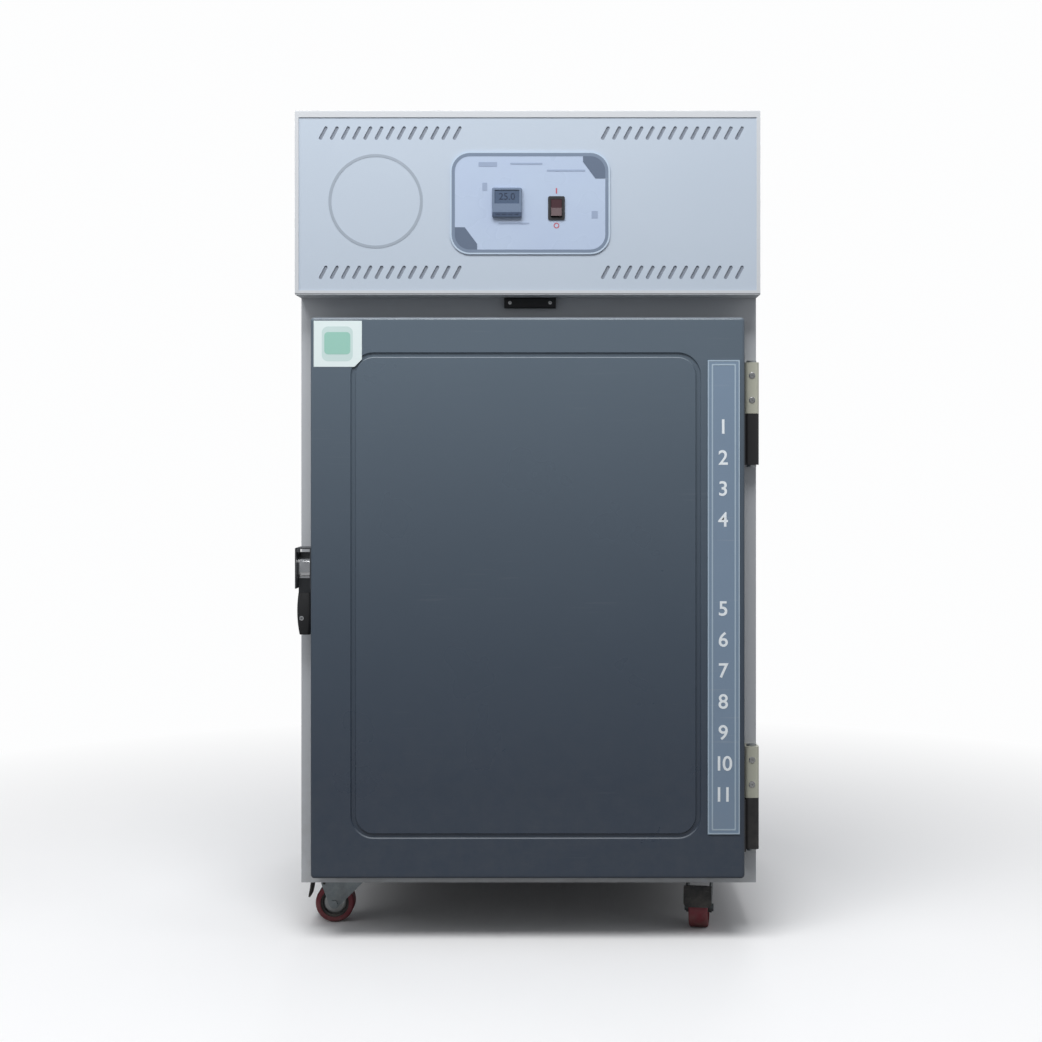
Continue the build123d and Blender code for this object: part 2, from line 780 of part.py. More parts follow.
# Rocker: saddle-shaped key that rocks about a level axis, shown with its upper half in
rocker_plane = Plane(
    origin=(switch_x, control_y, switch_z),
    x_dir=(0, sin(radians(rocker_tilt)), cos(radians(rocker_tilt))),
    z_dir=(1, 0, 0),
)
with BuildPart() as rocker:
    with BuildSketch(rocker_plane):
        with BuildLine():
            Polyline(
                (-rocker_length / 2, rocker_crown),
                (-rocker_length / 2 + 2, -rocker_root),
                (rocker_length / 2 - 2, -rocker_root),
                (rocker_length / 2, rocker_crown),
                (0, rocker_saddle),
                close=True,
            )
        make_face()
    extrude(amount=rocker_width / 2, both=True)
    with BuildSketch(rocker_plane):
        Circle(rocker_pin_radius)
    extrude(amount=rocker_width / 2 + rocker_gap + rocker_pin_reach - fit, both=True)
rocker.part.label = "rocker"
export_step(rocker.part, "parts/rocker.step")

# Rear grille of the head
with BuildPart() as head_grille:
    with BuildSketch(facing(back_y)):
        with Locations((0, deck_z)):
            Rectangle(body_width, head_height - sheet, align=(Align.CENTER, Align.MIN))
        with Locations((grille_x, condenser_mid_z)):
            with GridLocations(grille_slot_length + 14, grille_pitch, 3, grille_rows):
                Rectangle(grille_slot_length, grille_slot_height, mode=Mode.SUBTRACT)
        with Locations((gland_x, deck_z + gland_rise)):
            Circle(gland_radius * 0.6 + fit, mode=Mode.SUBTRACT)
    extrude(amount=sheet)
head_grille.part.label = "head_grille"
export_step(head_grille.part, "parts/head_grille.step")

# Cable gland: turned about its own axis, with a bore for the supply cable
with BuildPart() as cable_gland:
    with BuildSketch(Plane.XY.offset(deck_z + gland_rise)):
        with BuildLine():
            Polyline(
                (gland_x + gland_radius * 0.3, back_y - 3 * sheet),
                (gland_x + gland_radius * 0.9, back_y - 3 * sheet),
                (gland_x + gland_radius * 0.9, back_y - sheet),
                (gland_x + gland_radius * 0.6, back_y - sheet),
                (gland_x + gland_radius * 0.6, back_y),
                (gland_x + gland_radius, back_y),
                (gland_x + gland_radius, back_y + gland_reach * 0.45),
                (gland_x + gland_radius * 0.55, back_y + gland_reach),
                (gland_x + gland_radius * 0.3, back_y + gland_reach),
                close=True,
            )
        make_face()
    revolve(axis=Axis((gland_x, 0, deck_z + gland_rise), (0, 1, 0)))
cable_gland.part.label = "cable_gland"
export_step(cable_gland.part, "parts/cable_gland.step")

# Compressor: a domed can in two welded halves on four lugs
compressor_foot_z = deck_z + mount_height
with BuildPart() as compressor:
    with BuildSketch(Plane.XZ.offset(-compressor_y)):
        with BuildLine():
            can_top = compressor_foot_z + compressor_height
            can_foot_x = compressor_x + compressor_radius * 0.8
            Line((compressor_x, compressor_foot_z), (can_foot_x, compressor_foot_z))
            Line(
                (can_foot_x, compressor_foot_z),
                (compressor_x + compressor_radius, compressor_foot_z + compressor_dome / 2),
            )
            Line(
                (compressor_x + compressor_radius, compressor_foot_z + compressor_dome / 2),
                (compressor_x + compressor_radius, can_top - compressor_dome),
            )
            TangentArc(
                (compressor_x + compressor_radius, can_top - compressor_dome),
                (compressor_x + compressor_radius - compressor_dome, can_top),
                tangent=(0, 1),
            )
            Line((compressor_x + compressor_radius - compressor_dome, can_top), (compressor_x, can_top))
            Line((compressor_x, can_top), (compressor_x, compressor_foot_z))
        make_face()
        with Locations((compressor_x, compressor_foot_z + compressor_height / 2)):
            Rectangle(
                compressor_radius + compressor_seam, compressor_seam, align=(Align.MIN, Align.CENTER)
            )
    revolve(axis=Axis((compressor_x, compressor_y, 0), (0, 0, 1)))
    with BuildSketch(Plane.XY.offset(compressor_foot_z)):
        with Locations((compressor_x, compressor_y)):
            RectangleRounded(
                2 * (mount_spread + mount_radius), 2 * (mount_spread + mount_radius), 2 * mount_radius
            )
            Rectangle(2 * mount_spread - 60, 4 * mount_spread, mode=Mode.SUBTRACT)
            Rectangle(4 * mount_spread, 2 * mount_spread - 60, mode=Mode.SUBTRACT)
            Circle(compressor_radius * 0.8)
            Rectangle(2.5 * mount_spread, 24, rotation=45)
            Rectangle(2.5 * mount_spread, 24, rotation=-45)
    extrude(amount=foot_sheet)
    with BuildSketch(Plane.YZ.offset(compressor_x + compressor_radius - 2)):
        with Locations((compressor_y, compressor_foot_z + compressor_height * 0.3)):
            RectangleRounded(52, 46, 6)
    extrude(amount=22)
compressor.part.label = "compressor"
export_step(compressor.part, "parts/compressor.step")

# Rubber mounts under the compressor's lugs
with BuildPart() as compressor_mounts:
    with BuildSketch(Plane.XY.offset(deck_z)):
        with Locations((compressor_x, compressor_y)):
            with GridLocations(2 * mount_spread, 2 * mount_spread, 2, 2):
                Circle(mount_radius)
    extrude(amount=mount_height, taper=6)
compressor_mounts.part.label = "compressor_mounts"
export_step(compressor_mounts.part, "parts/compressor_mounts.step")

# Refrigerant pipes: hot gas to the condenser, liquid line with its drier, and suction line
gas_start = (compressor_x + 30, compressor_y, compressor_foot_z + compressor_height)
pipe_high_z = gas_start[2] + 45
coil_entry_x = condenser_x - condenser_width / 2 - 2 * tube_radius
pipe_routes = (
    (
        gas_start,
        (gas_start[0], gas_start[1], pipe_high_z),
        (coil_entry_x - 40, gas_start[1], pipe_high_z),
        (coil_entry_x - 40, condenser_y, pipe_high_z),
        (coil_entry_x - 40, condenser_y, condenser_mid_z + 50),
        (coil_entry_x, condenser_y, condenser_mid_z + 50),
    ),
    (
        (coil_entry_x, condenser_y, condenser_mid_z - 50),
        (coil_entry_x - 70, condenser_y, condenser_mid_z - 50),
        (coil_entry_x - 70, condenser_y, deck_z + 40),
        (port_x + 12, condenser_y, deck_z + 40),
        (port_x + 12, port_y, deck_z + 40),
        (port_x + 12, port_y, evaporator_z + coil_height * 0.75),
        (-coil_width / 2 - 2 * tube_radius, port_y, evaporator_z + coil_height * 0.75),
    ),
    (
        (-coil_width / 2 - 2 * tube_radius, port_y, evaporator_z + coil_height * 0.25),
        (port_x - 12, port_y, evaporator_z + coil_height * 0.25),
        (port_x - 12, port_y, compressor_foot_z + compressor_height + 25),
        (compressor_x - 30, port_y, compressor_foot_z + compressor_height + 25),
        (compressor_x - 30, compressor_y, compressor_foot_z + compressor_height + 25),
        (compressor_x - 30, compressor_y, compressor_foot_z + compressor_height),
    ),
)
with BuildPart() as refrigerant_pipes:
    for route in pipe_routes:
        with BuildLine() as run:
            FilletPolyline(*route, radius=pipe_bend)
        with BuildSketch(Plane(origin=run.line @ 0, z_dir=run.line % 0)):
            Circle(pipe_radius)
        sweep(path=run.line)
    drier_mid_x = (coil_entry_x - 70 + port_x + 12) / 2
    with BuildSketch(Plane.YZ.offset(drier_mid_x - drier_length / 2)):
        with Locations((condenser_y, deck_z + 40)):
            Circle(drier_radius)
    extrude(amount=drier_length)
refrigerant_pipes.part.label = "refrigerant_pipes"
export_step(refrigerant_pipes.part, "parts/refrigerant_pipes.step")

# Electrical tray behind the fascia: relay, transformer and terminal strip on a base
with BuildPart() as electrical_tray:
    tray_y = front_y + tray_setback + tray_depth / 2
    with BuildSketch(Plane.XY.offset(deck_z)):
        with Locations((0, tray_y)):
            Rectangle(tray_width, tray_depth)
    extrude(amount=20)
    with BuildSketch(Plane.XY.offset(deck_z + tray_sheet)):
        with Locations((0, tray_y)):
            Rectangle(tray_width - 2 * tray_sheet, tray_depth - 2 * tray_sheet)
    extrude(amount=20, mode=Mode.SUBTRACT)
    with BuildSketch(Plane.XY.offset(deck_z + tray_sheet)):
        with Locations((-70, tray_y)):
            Rectangle(60, 70)
        with Locations((10, tray_y)):
            Rectangle(45, 78)
    extrude(amount=64)
    with BuildSketch(Plane.XY.offset(deck_z + tray_sheet)):
        with Locations((80, tray_y)):
            Rectangle(34, 100)
            with GridLocations(40, 12, 1, 8):
                Rectangle(40, 2, mode=Mode.SUBTRACT)
    extrude(amount=30)
electrical_tray.part.label = "electrical_tray"
export_step(electrical_tray.part, "parts/electrical_tray.step")

# Door skin: a deep-drawn pan with rounded front edges and a pressed groove
groove_x = (groove_left - groove_right) / 2
groove_z = door_mid_z + (groove_bottom - groove_top) / 2
groove_w = door_width - groove_left - groove_right
groove_h = door_height - groove_top - groove_bottom
with BuildPart() as pan_core:
    with BuildSketch(facing(front_y + sheet)):
        with Locations((0, door_mid_z)):
            RectangleRounded(door_width - 2 * sheet, door_height - 2 * sheet, door_edge - sheet)
    extrude(amount=-(door_back_y - front_y))
    fillet(pan_core.faces().sort_by(Axis.Y)[0].edges(), radius=door_edge - 1 - sheet)

with BuildPart() as door_skin:
    with BuildSketch(facing(front_y)):
        with Locations((0, door_mid_z)):
            RectangleRounded(door_width, door_height, door_edge)
    extrude(amount=-(door_back_y - front_y))
    fillet(door_skin.faces().sort_by(Axis.Y)[0].edges(), radius=door_edge - 1)
    add(pan_core.part, mode=Mode.SUBTRACT)
    with BuildSketch(facing(front_y), mode=Mode.PRIVATE) as groove_path:
        with Locations((groove_x, groove_z)):
            RectangleRounded(groove_w, groove_h, groove_corner)
    path = groove_path.sketch.faces()[0].outer_wire()
    section = Plane(origin=path @ 0, x_dir=(0, 1, 0), z_dir=path % 0)
    with BuildSketch(section):
        with BuildLine():
            Polyline(
                (sheet / 2, -groove_width / 2 - sheet),
                (sheet / 2, groove_width / 2 + sheet),
                (groove_depth + sheet, groove_width / 2 - groove_depth / 2 + sheet),
                (groove_depth + sheet, -groove_width / 2 + groove_depth / 2 - sheet),
                close=True,
            )
        make_face()
    sweep(path=path)
    with BuildSketch(section):
        with BuildLine():
            Polyline(
                (-sheet, -groove_width / 2 - sheet / 2),
                (-sheet, groove_width / 2 + sheet / 2),
                (groove_depth, groove_width / 2 - groove_depth / 2),
                (groove_depth, -groove_width / 2 + groove_depth / 2),
                close=True,
            )
        make_face()
    sweep(path=path, mode=Mode.SUBTRACT)
door_skin.part.label = "door_skin"
export_step(door_skin.part, "parts/door_skin.step")

# Door liner: closes the pan and steps into the cavity
plug_y = frame_y + plug_reach
with BuildPart() as plug_core:
    with BuildSketch(facing(door_back_y - liner_sheet)):
        with Locations((0, cavity_mid_z)):
            RectangleRounded(
                cavity_width - 2 * (plug_gap + liner_sheet),
                cavity_height - 2 * (plug_gap + liner_sheet),
                opening_corner - liner_sheet,
            )
    extrude(amount=-(plug_y - door_back_y))
    fillet(plug_core.faces().sort_by(Axis.Y)[-1].edges(), radius=opening_corner / 2 - liner_sheet)

with BuildPart() as door_liner:
    with BuildSketch(facing(door_back_y)):
        with Locations((0, door_mid_z)):
            RectangleRounded(
                door_width - 2 * (sheet + fit), door_height - 2 * (sheet + fit), door_edge - sheet
            )
    extrude(amount=liner_sheet)
    with BuildSketch(facing(door_back_y)):
        with Locations((0, cavity_mid_z)):
            RectangleRounded(
                cavity_width - 2 * plug_gap, cavity_height - 2 * plug_gap, opening_corner
            )
    extrude(amount=-(plug_y - door_back_y))
    fillet(door_liner.faces().sort_by(Axis.Y)[-1].edges(), radius=opening_corner / 2)
    add(plug_core.part, mode=Mode.SUBTRACT)
door_liner.part.label = "door_liner"
export_step(door_liner.part, "parts/door_liner.step")

# Insulation inside the door
with BuildPart() as door_insulation:
    with BuildSketch(facing(door_back_y - liner_sheet)):
        with Locations((0, door_mid_z)):
            RectangleRounded(
                door_width - 2 * (sheet + fit), door_height - 2 * (sheet + fit), door_edge
            )
    extrude(amount=door_back_y - liner_sheet - front_y - groove_depth - sheet)
    with BuildSketch(facing(door_back_y - liner_sheet)):
        with Locations((0, cavity_mid_z)):
            Rectangle(
                cavity_width - 2 * (plug_gap + opening_corner),
                cavity_height - 2 * (plug_gap + opening_corner),
            )
    extrude(amount=-(plug_y - door_back_y))
door_insulation.part.label = "door_insulation"
export_step(door_insulation.part, "parts/door_insulation.step")

# Gasket: foot, bellows neck and sealing head, mitred round the door
gasket_steps = (
    (gasket_foot, gasket_width),
    (gasket_depth - 2 * gasket_foot, gasket_neck),
    (gasket_foot, gasket_width),
)
with BuildPart() as door_gasket:
    step_y = door_back_y
    for thickness, width in gasket_steps:
        with BuildSketch(facing(step_y)):
            with Locations((0, cavity_mid_z)):
                Rectangle(
                    cavity_width + 2 * gasket_lap + width, cavity_height + 2 * gasket_lap + width
                )
                Rectangle(
                    cavity_width + 2 * gasket_lap - width,
                    cavity_height + 2 * gasket_lap - width,
                    mode=Mode.SUBTRACT,
                )
        extrude(amount=-thickness)
        step_y += thickness
door_gasket.part.label = "door_gasket"
export_step(door_gasket.part, "parts/door_gasket.step")

# Name strip: a plain raised plate down the hinge side of the door
with BuildPart() as name_strip:
    with BuildSketch(facing(front_y)):
        with Locations((door_half - strip_right, door_z + strip_bottom)):
            Rectangle(strip_width, strip_height, align=(Align.MAX, Align.MIN))
    extrude(amount=strip_thickness)
name_strip.part.label = "name_strip"
export_step(name_strip.part, "parts/name_strip.step")

# Hinges: an upper half on the frame and a lower half on the door, on one through pin
hinge_x = half_width - hinge_inset
hinge_y = frame_y - hinge_lead
hinge_levels = (door_z + lower_hinge_rise, door_top_z - upper_hinge_drop)
hinge_half = (hinge_height - hinge_split) / 2
with BuildPart() as hinge_frame_halves:
    for level in hinge_levels:
        with BuildSketch(Plane.XY.offset(level + hinge_split / 2)):
            with Locations((hinge_x, hinge_y)):
                RectangleRounded(knuckle_size, knuckle_size, knuckle_corner)
                Rectangle(hinge_web, hinge_lead, align=(Align.CENTER, Align.MIN))
            with Locations((hinge_x, frame_y)):
                Rectangle(knuckle_size - 2, hinge_leaf, align=(Align.CENTER, Align.MAX))
            with Locations((hinge_x, hinge_y)):
                Circle(hinge_pin_radius + running_fit / 2, mode=Mode.SUBTRACT)
        extrude(amount=hinge_half)
hinge_frame_halves.part.label = "hinge_frame_halves"
export_step(hinge_frame_halves.part, "parts/hinge_frame_halves.step")

with BuildPart() as hinge_door_halves:
    for level in hinge_levels:
        with BuildSketch(Plane.XY.offset(level - hinge_split / 2)):
            with Locations((hinge_x, hinge_y)):
                RectangleRounded(knuckle_size, knuckle_size, knuckle_corner)
                Rectangle(hinge_x - door_half, hinge_web, align=(Align.MAX, Align.CENTER))
            with Locations((door_half, door_back_y)):
                Rectangle(hinge_leaf, hinge_side_plate, align=(Align.MIN, Align.MAX))
            with Locations((hinge_x, hinge_y)):
                Circle(hinge_pin_radius + running_fit, mode=Mode.SUBTRACT)
        extrude(amount=-hinge_half)
hinge_door_halves.part.label = "hinge_door_halves"
export_step(hinge_door_halves.part, "parts/hinge_door_halves.step")

with BuildPart() as hinge_pins:
    for level in hinge_levels:
        pin_bottom = level - hinge_height / 2 - hinge_split
        with BuildSketch(Plane.XY.offset(pin_bottom)):
            with Locations((hinge_x, hinge_y)):
                Circle(hinge_pin_radius)
        extrude(amount=hinge_height + hinge_split + hinge_pin_cap)
        for cap_z in (pin_bottom - hinge_pin_cap, level + hinge_height / 2):
            with BuildSketch(Plane.XY.offset(cap_z)):
                with Locations((hinge_x, hinge_y)):
                    Circle(hinge_pin_head)
            extrude(amount=hinge_pin_cap)
hinge_pins.part.label = "hinge_pins"
export_step(hinge_pins.part, "parts/hinge_pins.step")

# Latch case on the door's left edge: a channel open below, with the pivot pin
latch_z = door_z + latch_rise
latch_top_z = latch_z + latch_height / 2
latch_x = -door_half - latch_width / 2
case_front_y = front_y + latch_setback
pivot_y = case_front_y + pivot_back
pivot_z = latch_top_z - pivot_drop
with BuildPart() as latch_case:
    with BuildSketch(facing(case_front_y)):
        with Locations((latch_x, latch_top_z)):
            Rectangle(latch_width, latch_case_height, align=(Align.CENTER, Align.MAX))
        with Locations((latch_x, latch_top_z - latch_cheek)):
            Rectangle(
                latch_width - 2 * latch_cheek,
                latch_case_height,
                align=(Align.CENTER, Align.MAX),
                mode=Mode.SUBTRACT,
            )
    extrude(amount=-latch_case_depth)
    outer_top = latch_case.edges().filter_by(Axis.Y).group_by(Axis.X)[0].sort_by(Axis.Z)[-1]
    fillet(outer_top, radius=latch_cheek - 0.2)
    with BuildSketch(Plane.YZ.offset(latch_x)):
        with Locations((pivot_y, pivot_z)):
            Circle(pivot_radius)
    extrude(amount=latch_width / 2 - latch_cheek / 2, both=True)
latch_case.part.label = "latch_case"
export_step(latch_case.part, "parts/latch_case.step")

# Latch lever: hub, tapered tongue above, shank below, and a claw that reaches back
# under the keeper's roller
roller_y = frame_y - roller_lead
claw_top_z = pivot_z - roller_radius - 1
claw_end_y = frame_y - keeper_plate - 1
lever_width = latch_width - 2 * latch_cheek - 2 * latch_side_gap
grip_bottom_z = latch_z - latch_height / 2
grip_top_z = latch_top_z - latch_case_height - 8
with BuildPart() as latch_lever:
    with BuildSketch(Plane.YZ.offset(latch_x)):
        with Locations((pivot_y, pivot_z)):
            Circle(hub_radius)
        with BuildLine():
            Polyline(
                (pivot_y - hub_radius, pivot_z),
                (pivot_y - hub_radius, pivot_z + tongue_length / 2),
                (pivot_y - 2, pivot_z + tongue_length),
                (pivot_y + 2, pivot_z + tongue_length),
                (pivot_y + hub_radius * 0.6, pivot_z),
                close=True,
            )
        make_face()
        with Locations((pivot_y, pivot_z)):
            Rectangle(lever_shank, pivot_z - grip_bottom_z - 24, align=(Align.CENTER, Align.MAX))
    extrude(amount=lever_width / 2, both=True)
    with BuildSketch(Plane.YZ.offset(latch_x)):
        with Locations((pivot_y, claw_top_z)):
            Rectangle(claw_end_y - pivot_y, claw_thickness, align=(Align.MIN, Align.MAX))
        with Locations((claw_end_y, claw_top_z)):
            Rectangle(claw_tooth, roller_radius + 3, align=(Align.MAX, Align.MIN))
    extrude(amount=claw_width / 2, both=True)
    with BuildSketch(Plane.YZ.offset(latch_x)):
        with Locations((pivot_y, pivot_z)):
            Circle(pivot_radius + running_fit)
    extrude(amount=latch_width, both=True, mode=Mode.SUBTRACT)
latch_lever.part.label = "latch_lever"
export_step(latch_lever.part, "parts/latch_lever.step")

# Moulded grip over the lever's shank
with BuildPart() as latch_grip:
    with BuildSketch(Plane.XY.offset(grip_bottom_z)):
        with Locations((latch_x, pivot_y - 2)):
            RectangleRounded(latch_width - 8, grip_depth - 4, grip_corner)
    with BuildSketch(Plane.XY.offset(grip_bottom_z + 14)):
        with Locations((latch_x, pivot_y - 2)):
            RectangleRounded(latch_width - 4, grip_depth, grip_corner)
    with BuildSketch(Plane.XY.offset(grip_top_z)):
        with Locations((latch_x, pivot_y)):
            RectangleRounded(latch_width - 4, grip_depth - 3, grip_corner)
    loft()
    add(latch_lever.part, mode=Mode.SUBTRACT)
latch_grip.part.label = "latch_grip"
export_step(latch_grip.part, "parts/latch_grip.step")

# Keeper on the frame: plate, two ears and the roller that the claw catches
keeper_width = latch_width - 2 * latch_cheek - 2
with BuildPart() as latch_keeper:
    with BuildSketch(facing(frame_y)):
        with Locations((latch_x, pivot_z)):
            Rectangle(keeper_width, keeper_height)
    extrude(amount=keeper_plate)
    for hand in (-1, 1):
        with BuildSketch(Plane.YZ.offset(latch_x + hand * (keeper_width - keeper_ear) / 2)):
            with Locations((roller_y, pivot_z)):
                Circle(roller_radius + 2)
            with Locations((frame_y, pivot_z)):
                Rectangle(keeper_plate, 4 * roller_radius, align=(Align.MAX, Align.CENTER))
            make_hull()
        extrude(amount=keeper_ear / 2, both=True)
    with BuildSketch(Plane.YZ.offset(latch_x)):
        with Locations((roller_y, pivot_z)):
            Circle(roller_radius)
    extrude(amount=keeper_width / 2, both=True)
latch_keeper.part.label = "latch_keeper"
export_step(latch_keeper.part, "parts/latch_keeper.step")

# Door sensor under the head's floor
with BuildPart() as door_sensor:
    with BuildSketch(facing(frame_y)):
        with Locations((sensor_x, deck_z - sheet)):
            Rectangle(sensor_width, sensor_height, align=(Align.CENTER, Align.MAX))
    extrude(amount=sensor_depth)
    fillet(door_sensor.faces().sort_by(Axis.Y)[0].edges(), radius=2)
door_sensor.part.label = "door_sensor"
export_step(door_sensor.part, "parts/door_sensor.step")

# Castor top plates with their swivel races, one solid for each castor
castor_places = {
    "front_left": (-castor_x, front_castor_y),
    "front_right": (castor_x, front_castor_y),
    "rear_left": (-castor_x, rear_castor_y),
    "rear_right": (castor_x, rear_castor_y),
}
with BuildPart() as castor_plates:
    for x, y in castor_places.values():
        with BuildSketch(Plane.XY.offset(base_z)):
            with Locations((x, y)):
                RectangleRounded(castor_plate_width, castor_plate_length, 6)
        extrude(amount=-castor_plate_sheet)
        with BuildSketch(Plane.XY.offset(base_z - castor_plate_sheet)):
            with Locations((x, y)):
                Circle(race_radius)
        extrude(amount=-race_height, taper=8)
        with BuildSketch(Plane.XY.offset(fork_top_z + fork_gap)):
            with Locations((x, y)):
                Circle(king_radius)
        extrude(amount=-(2 * fork_gap + fork_sheet))
        with BuildSketch(Plane.XY.offset(fork_top_z - fork_sheet - fork_gap)):
            with Locations((x, y)):
                Circle(king_head)
        extrude(amount=-king_head_height)
castor_plates.part.label = "castor_plates"
export_step(castor_plates.part, "parts/castor_plates.step")

# Forks, wheels, treads and pedals, each castor in its own heading
cheek_x = wheel_width / 2 + cheek_clearance
pedal_pin_z = axle_z + ((axle_z + wheel_clearance + pedal_pin_radius) ** 2 - pedal_lead**2) ** 0.5
for corner, heading in castor_headings.items():
    x, y = castor_places[corner]
    trail = Vector(cos(radians(heading)), sin(radians(heading)), 0)
    across = Vector(-sin(radians(heading)), cos(radians(heading)), 0)
    swivel = Vector(x, y, 0)
    axle = swivel + trail * castor_trail
    side_on = Plane(origin=swivel, x_dir=trail, z_dir=across * -1)
    wheel_plane = Plane(origin=axle + Vector(0, 0, axle_z), x_dir=trail, z_dir=across * -1)

    with BuildPart() as fork:
        with BuildSketch(Plane(origin=swivel + Vector(0, 0, fork_top_z), x_dir=trail, z_dir=(0, 0, 1))):
            Circle(crown_radius)
            Rectangle(crown_radius, 2 * (cheek_x + fork_sheet), align=(Align.MIN, Align.CENTER))
            Circle(king_radius + running_fit, mode=Mode.SUBTRACT)
        extrude(amount=-fork_sheet)
        for hand in (-1, 1):
            with BuildSketch(side_on.offset(hand * (cheek_x + fork_sheet / 2))):
                with Locations((crown_radius / 4, fork_top_z)):
                    Rectangle(crown_radius * 1.5, fork_sheet, align=(Align.CENTER, Align.MAX))
                with Locations((castor_trail, axle_z)):
                    Circle(axle_head + 2)
                with Locations((castor_trail + pedal_lead, pedal_pin_z)):
                    Circle(pedal_pin_radius + 2.5)
                make_hull()
                with Locations((castor_trail, axle_z)):
                    Circle(axle_radius + running_fit, mode=Mode.SUBTRACT)
                with Locations((castor_trail + pedal_lead, pedal_pin_z)):
                    Circle(pedal_pin_radius + running_fit, mode=Mode.SUBTRACT)
            extrude(amount=fork_sheet / 2, both=True)
        with BuildSketch(wheel_plane):
            Circle(axle_radius)
        extrude(amount=cheek_x + fork_sheet + 0.1, both=True)
        for hand in (-1, 1):
            with BuildSketch(wheel_plane.offset(hand * (cheek_x + fork_sheet + 0.1))):
                RegularPolygon(axle_head, 6)
            extrude(amount=hand * axle_head_thickness)
    fork.part.label = f"castor_fork_{corner}"
    export_step(fork.part, f"parts/castor_fork_{corner}.step")

    with BuildPart() as wheel:
        with BuildSketch(wheel_plane):
            Circle(hub_wheel_radius)
            Circle(axle_radius + running_fit, mode=Mode.SUBTRACT)
        extrude(amount=hub_width / 2, both=True)
        for hand in (-1, 1):
            with BuildSketch(wheel_plane.offset(hand * hub_width / 2)):
                Circle(hub_wheel_radius - 4)
                Circle(axle_radius + 5, mode=Mode.SUBTRACT)
            extrude(amount=-hand * 3, mode=Mode.SUBTRACT)
            with BuildSketch(wheel_plane.offset(hand * hub_width / 2)):
                Circle(axle_radius + 4)
                Circle(axle_radius + running_fit, mode=Mode.SUBTRACT)
            extrude(amount=hand * (cheek_x - hub_width / 2 - fit))
    wheel.part.label = f"castor_wheel_{corner}"
    export_step(wheel.part, f"parts/castor_wheel_{corner}.step")

    with BuildPart() as tread:
        with BuildSketch(wheel_plane):
            Circle(wheel_diameter / 2)
            Circle(hub_wheel_radius + running_fit, mode=Mode.SUBTRACT)
        extrude(amount=wheel_width / 2, both=True)
        rims = tread.edges().filter_by(GeomType.CIRCLE).sort_by(SortBy.RADIUS)[-2:]
        fillet(rims, radius=tread_round)
    tread.part.label = f"castor_tread_{corner}"
    export_step(tread.part, f"parts/castor_tread_{corner}.step")

    if corner.startswith("front"):
        pedal_pin = axle + trail * pedal_lead + Vector(0, 0, pedal_pin_z)
        lifted = trail * cos(radians(pedal_lift)) + Vector(0, 0, sin(radians(pedal_lift)))
        pedal_plane = Plane(origin=pedal_pin, x_dir=lifted, z_dir=across * -1)
        with BuildPart() as pedal:
            with BuildSketch(pedal_plane):
                Circle(pedal_pin_radius + pedal_sheet)
            extrude(amount=pedal_width / 2, both=True)
            with BuildSketch(pedal_plane):
                with Locations((0, pedal_pin_radius)):
                    Rectangle(pedal_length, pedal_sheet, align=(Align.MIN, Align.MIN))
            extrude(amount=pedal_width / 2, both=True)
            with BuildSketch(pedal_plane):
                with Locations((pedal_length, pedal_pin_radius + pedal_sheet)):
                    Rectangle(pedal_length - pedal_neck, pedal_sheet, align=(Align.MAX, Align.MAX))
                    Rectangle(pedal_sheet, pedal_apron, align=(Align.MAX, Align.MAX))
            extrude(amount=pedal_head_width / 2, both=True)
            apron_corners = pedal.edges().filter_by(Axis((0, 0, 0), lifted)).sort_by(Axis.Z)[:2]
            fillet(apron_corners, radius=pedal_corner)
            with BuildSketch(pedal_plane):
                Circle(pedal_pin_radius)
            extrude(amount=cheek_x + fork_sheet, both=True)
        pedal.part.label = f"brake_pedal_{corner}"
        export_step(pedal.part, f"parts/brake_pedal_{corner}.step")
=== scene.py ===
import json
import math
import bpy
import bmesh
from mathutils import Matrix, Vector


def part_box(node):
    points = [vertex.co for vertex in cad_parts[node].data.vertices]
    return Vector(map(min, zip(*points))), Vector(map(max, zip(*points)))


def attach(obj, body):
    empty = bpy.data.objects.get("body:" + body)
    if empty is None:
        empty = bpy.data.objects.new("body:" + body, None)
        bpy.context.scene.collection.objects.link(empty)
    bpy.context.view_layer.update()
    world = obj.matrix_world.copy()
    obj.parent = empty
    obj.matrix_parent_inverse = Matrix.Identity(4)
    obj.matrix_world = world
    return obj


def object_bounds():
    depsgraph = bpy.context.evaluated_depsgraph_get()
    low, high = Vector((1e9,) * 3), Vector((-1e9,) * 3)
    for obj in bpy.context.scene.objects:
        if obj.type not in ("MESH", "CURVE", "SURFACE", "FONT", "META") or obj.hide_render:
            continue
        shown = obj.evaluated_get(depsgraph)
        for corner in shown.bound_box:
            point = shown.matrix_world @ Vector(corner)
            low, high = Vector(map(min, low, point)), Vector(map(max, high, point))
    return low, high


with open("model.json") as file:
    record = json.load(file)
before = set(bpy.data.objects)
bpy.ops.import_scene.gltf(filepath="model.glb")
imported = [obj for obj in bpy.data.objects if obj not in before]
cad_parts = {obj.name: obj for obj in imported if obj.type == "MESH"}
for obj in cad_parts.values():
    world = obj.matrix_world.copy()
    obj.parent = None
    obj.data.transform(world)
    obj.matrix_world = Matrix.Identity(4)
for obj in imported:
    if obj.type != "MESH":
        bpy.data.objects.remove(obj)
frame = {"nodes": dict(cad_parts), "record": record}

cadLow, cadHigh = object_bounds()
scene = bpy.context.scene
record = frame["record"]
print("frame loaded:", len(frame["nodes"]), "nodes")


# sRGB 0-255 as a picture editor shows it, to Blender's linear colour
def tone(red, green, blue):
    def linear(value):
        value = value / 255
        return value / 12.92 if value <= 0.04045 else ((value + 0.055) / 1.055) ** 2.4
    return (linear(red), linear(green), linear(blue), 1.0)


def addObject(name, data):
    made = bpy.data.objects.new(name, data)
    scene.collection.objects.link(made)
    return made


# node helpers

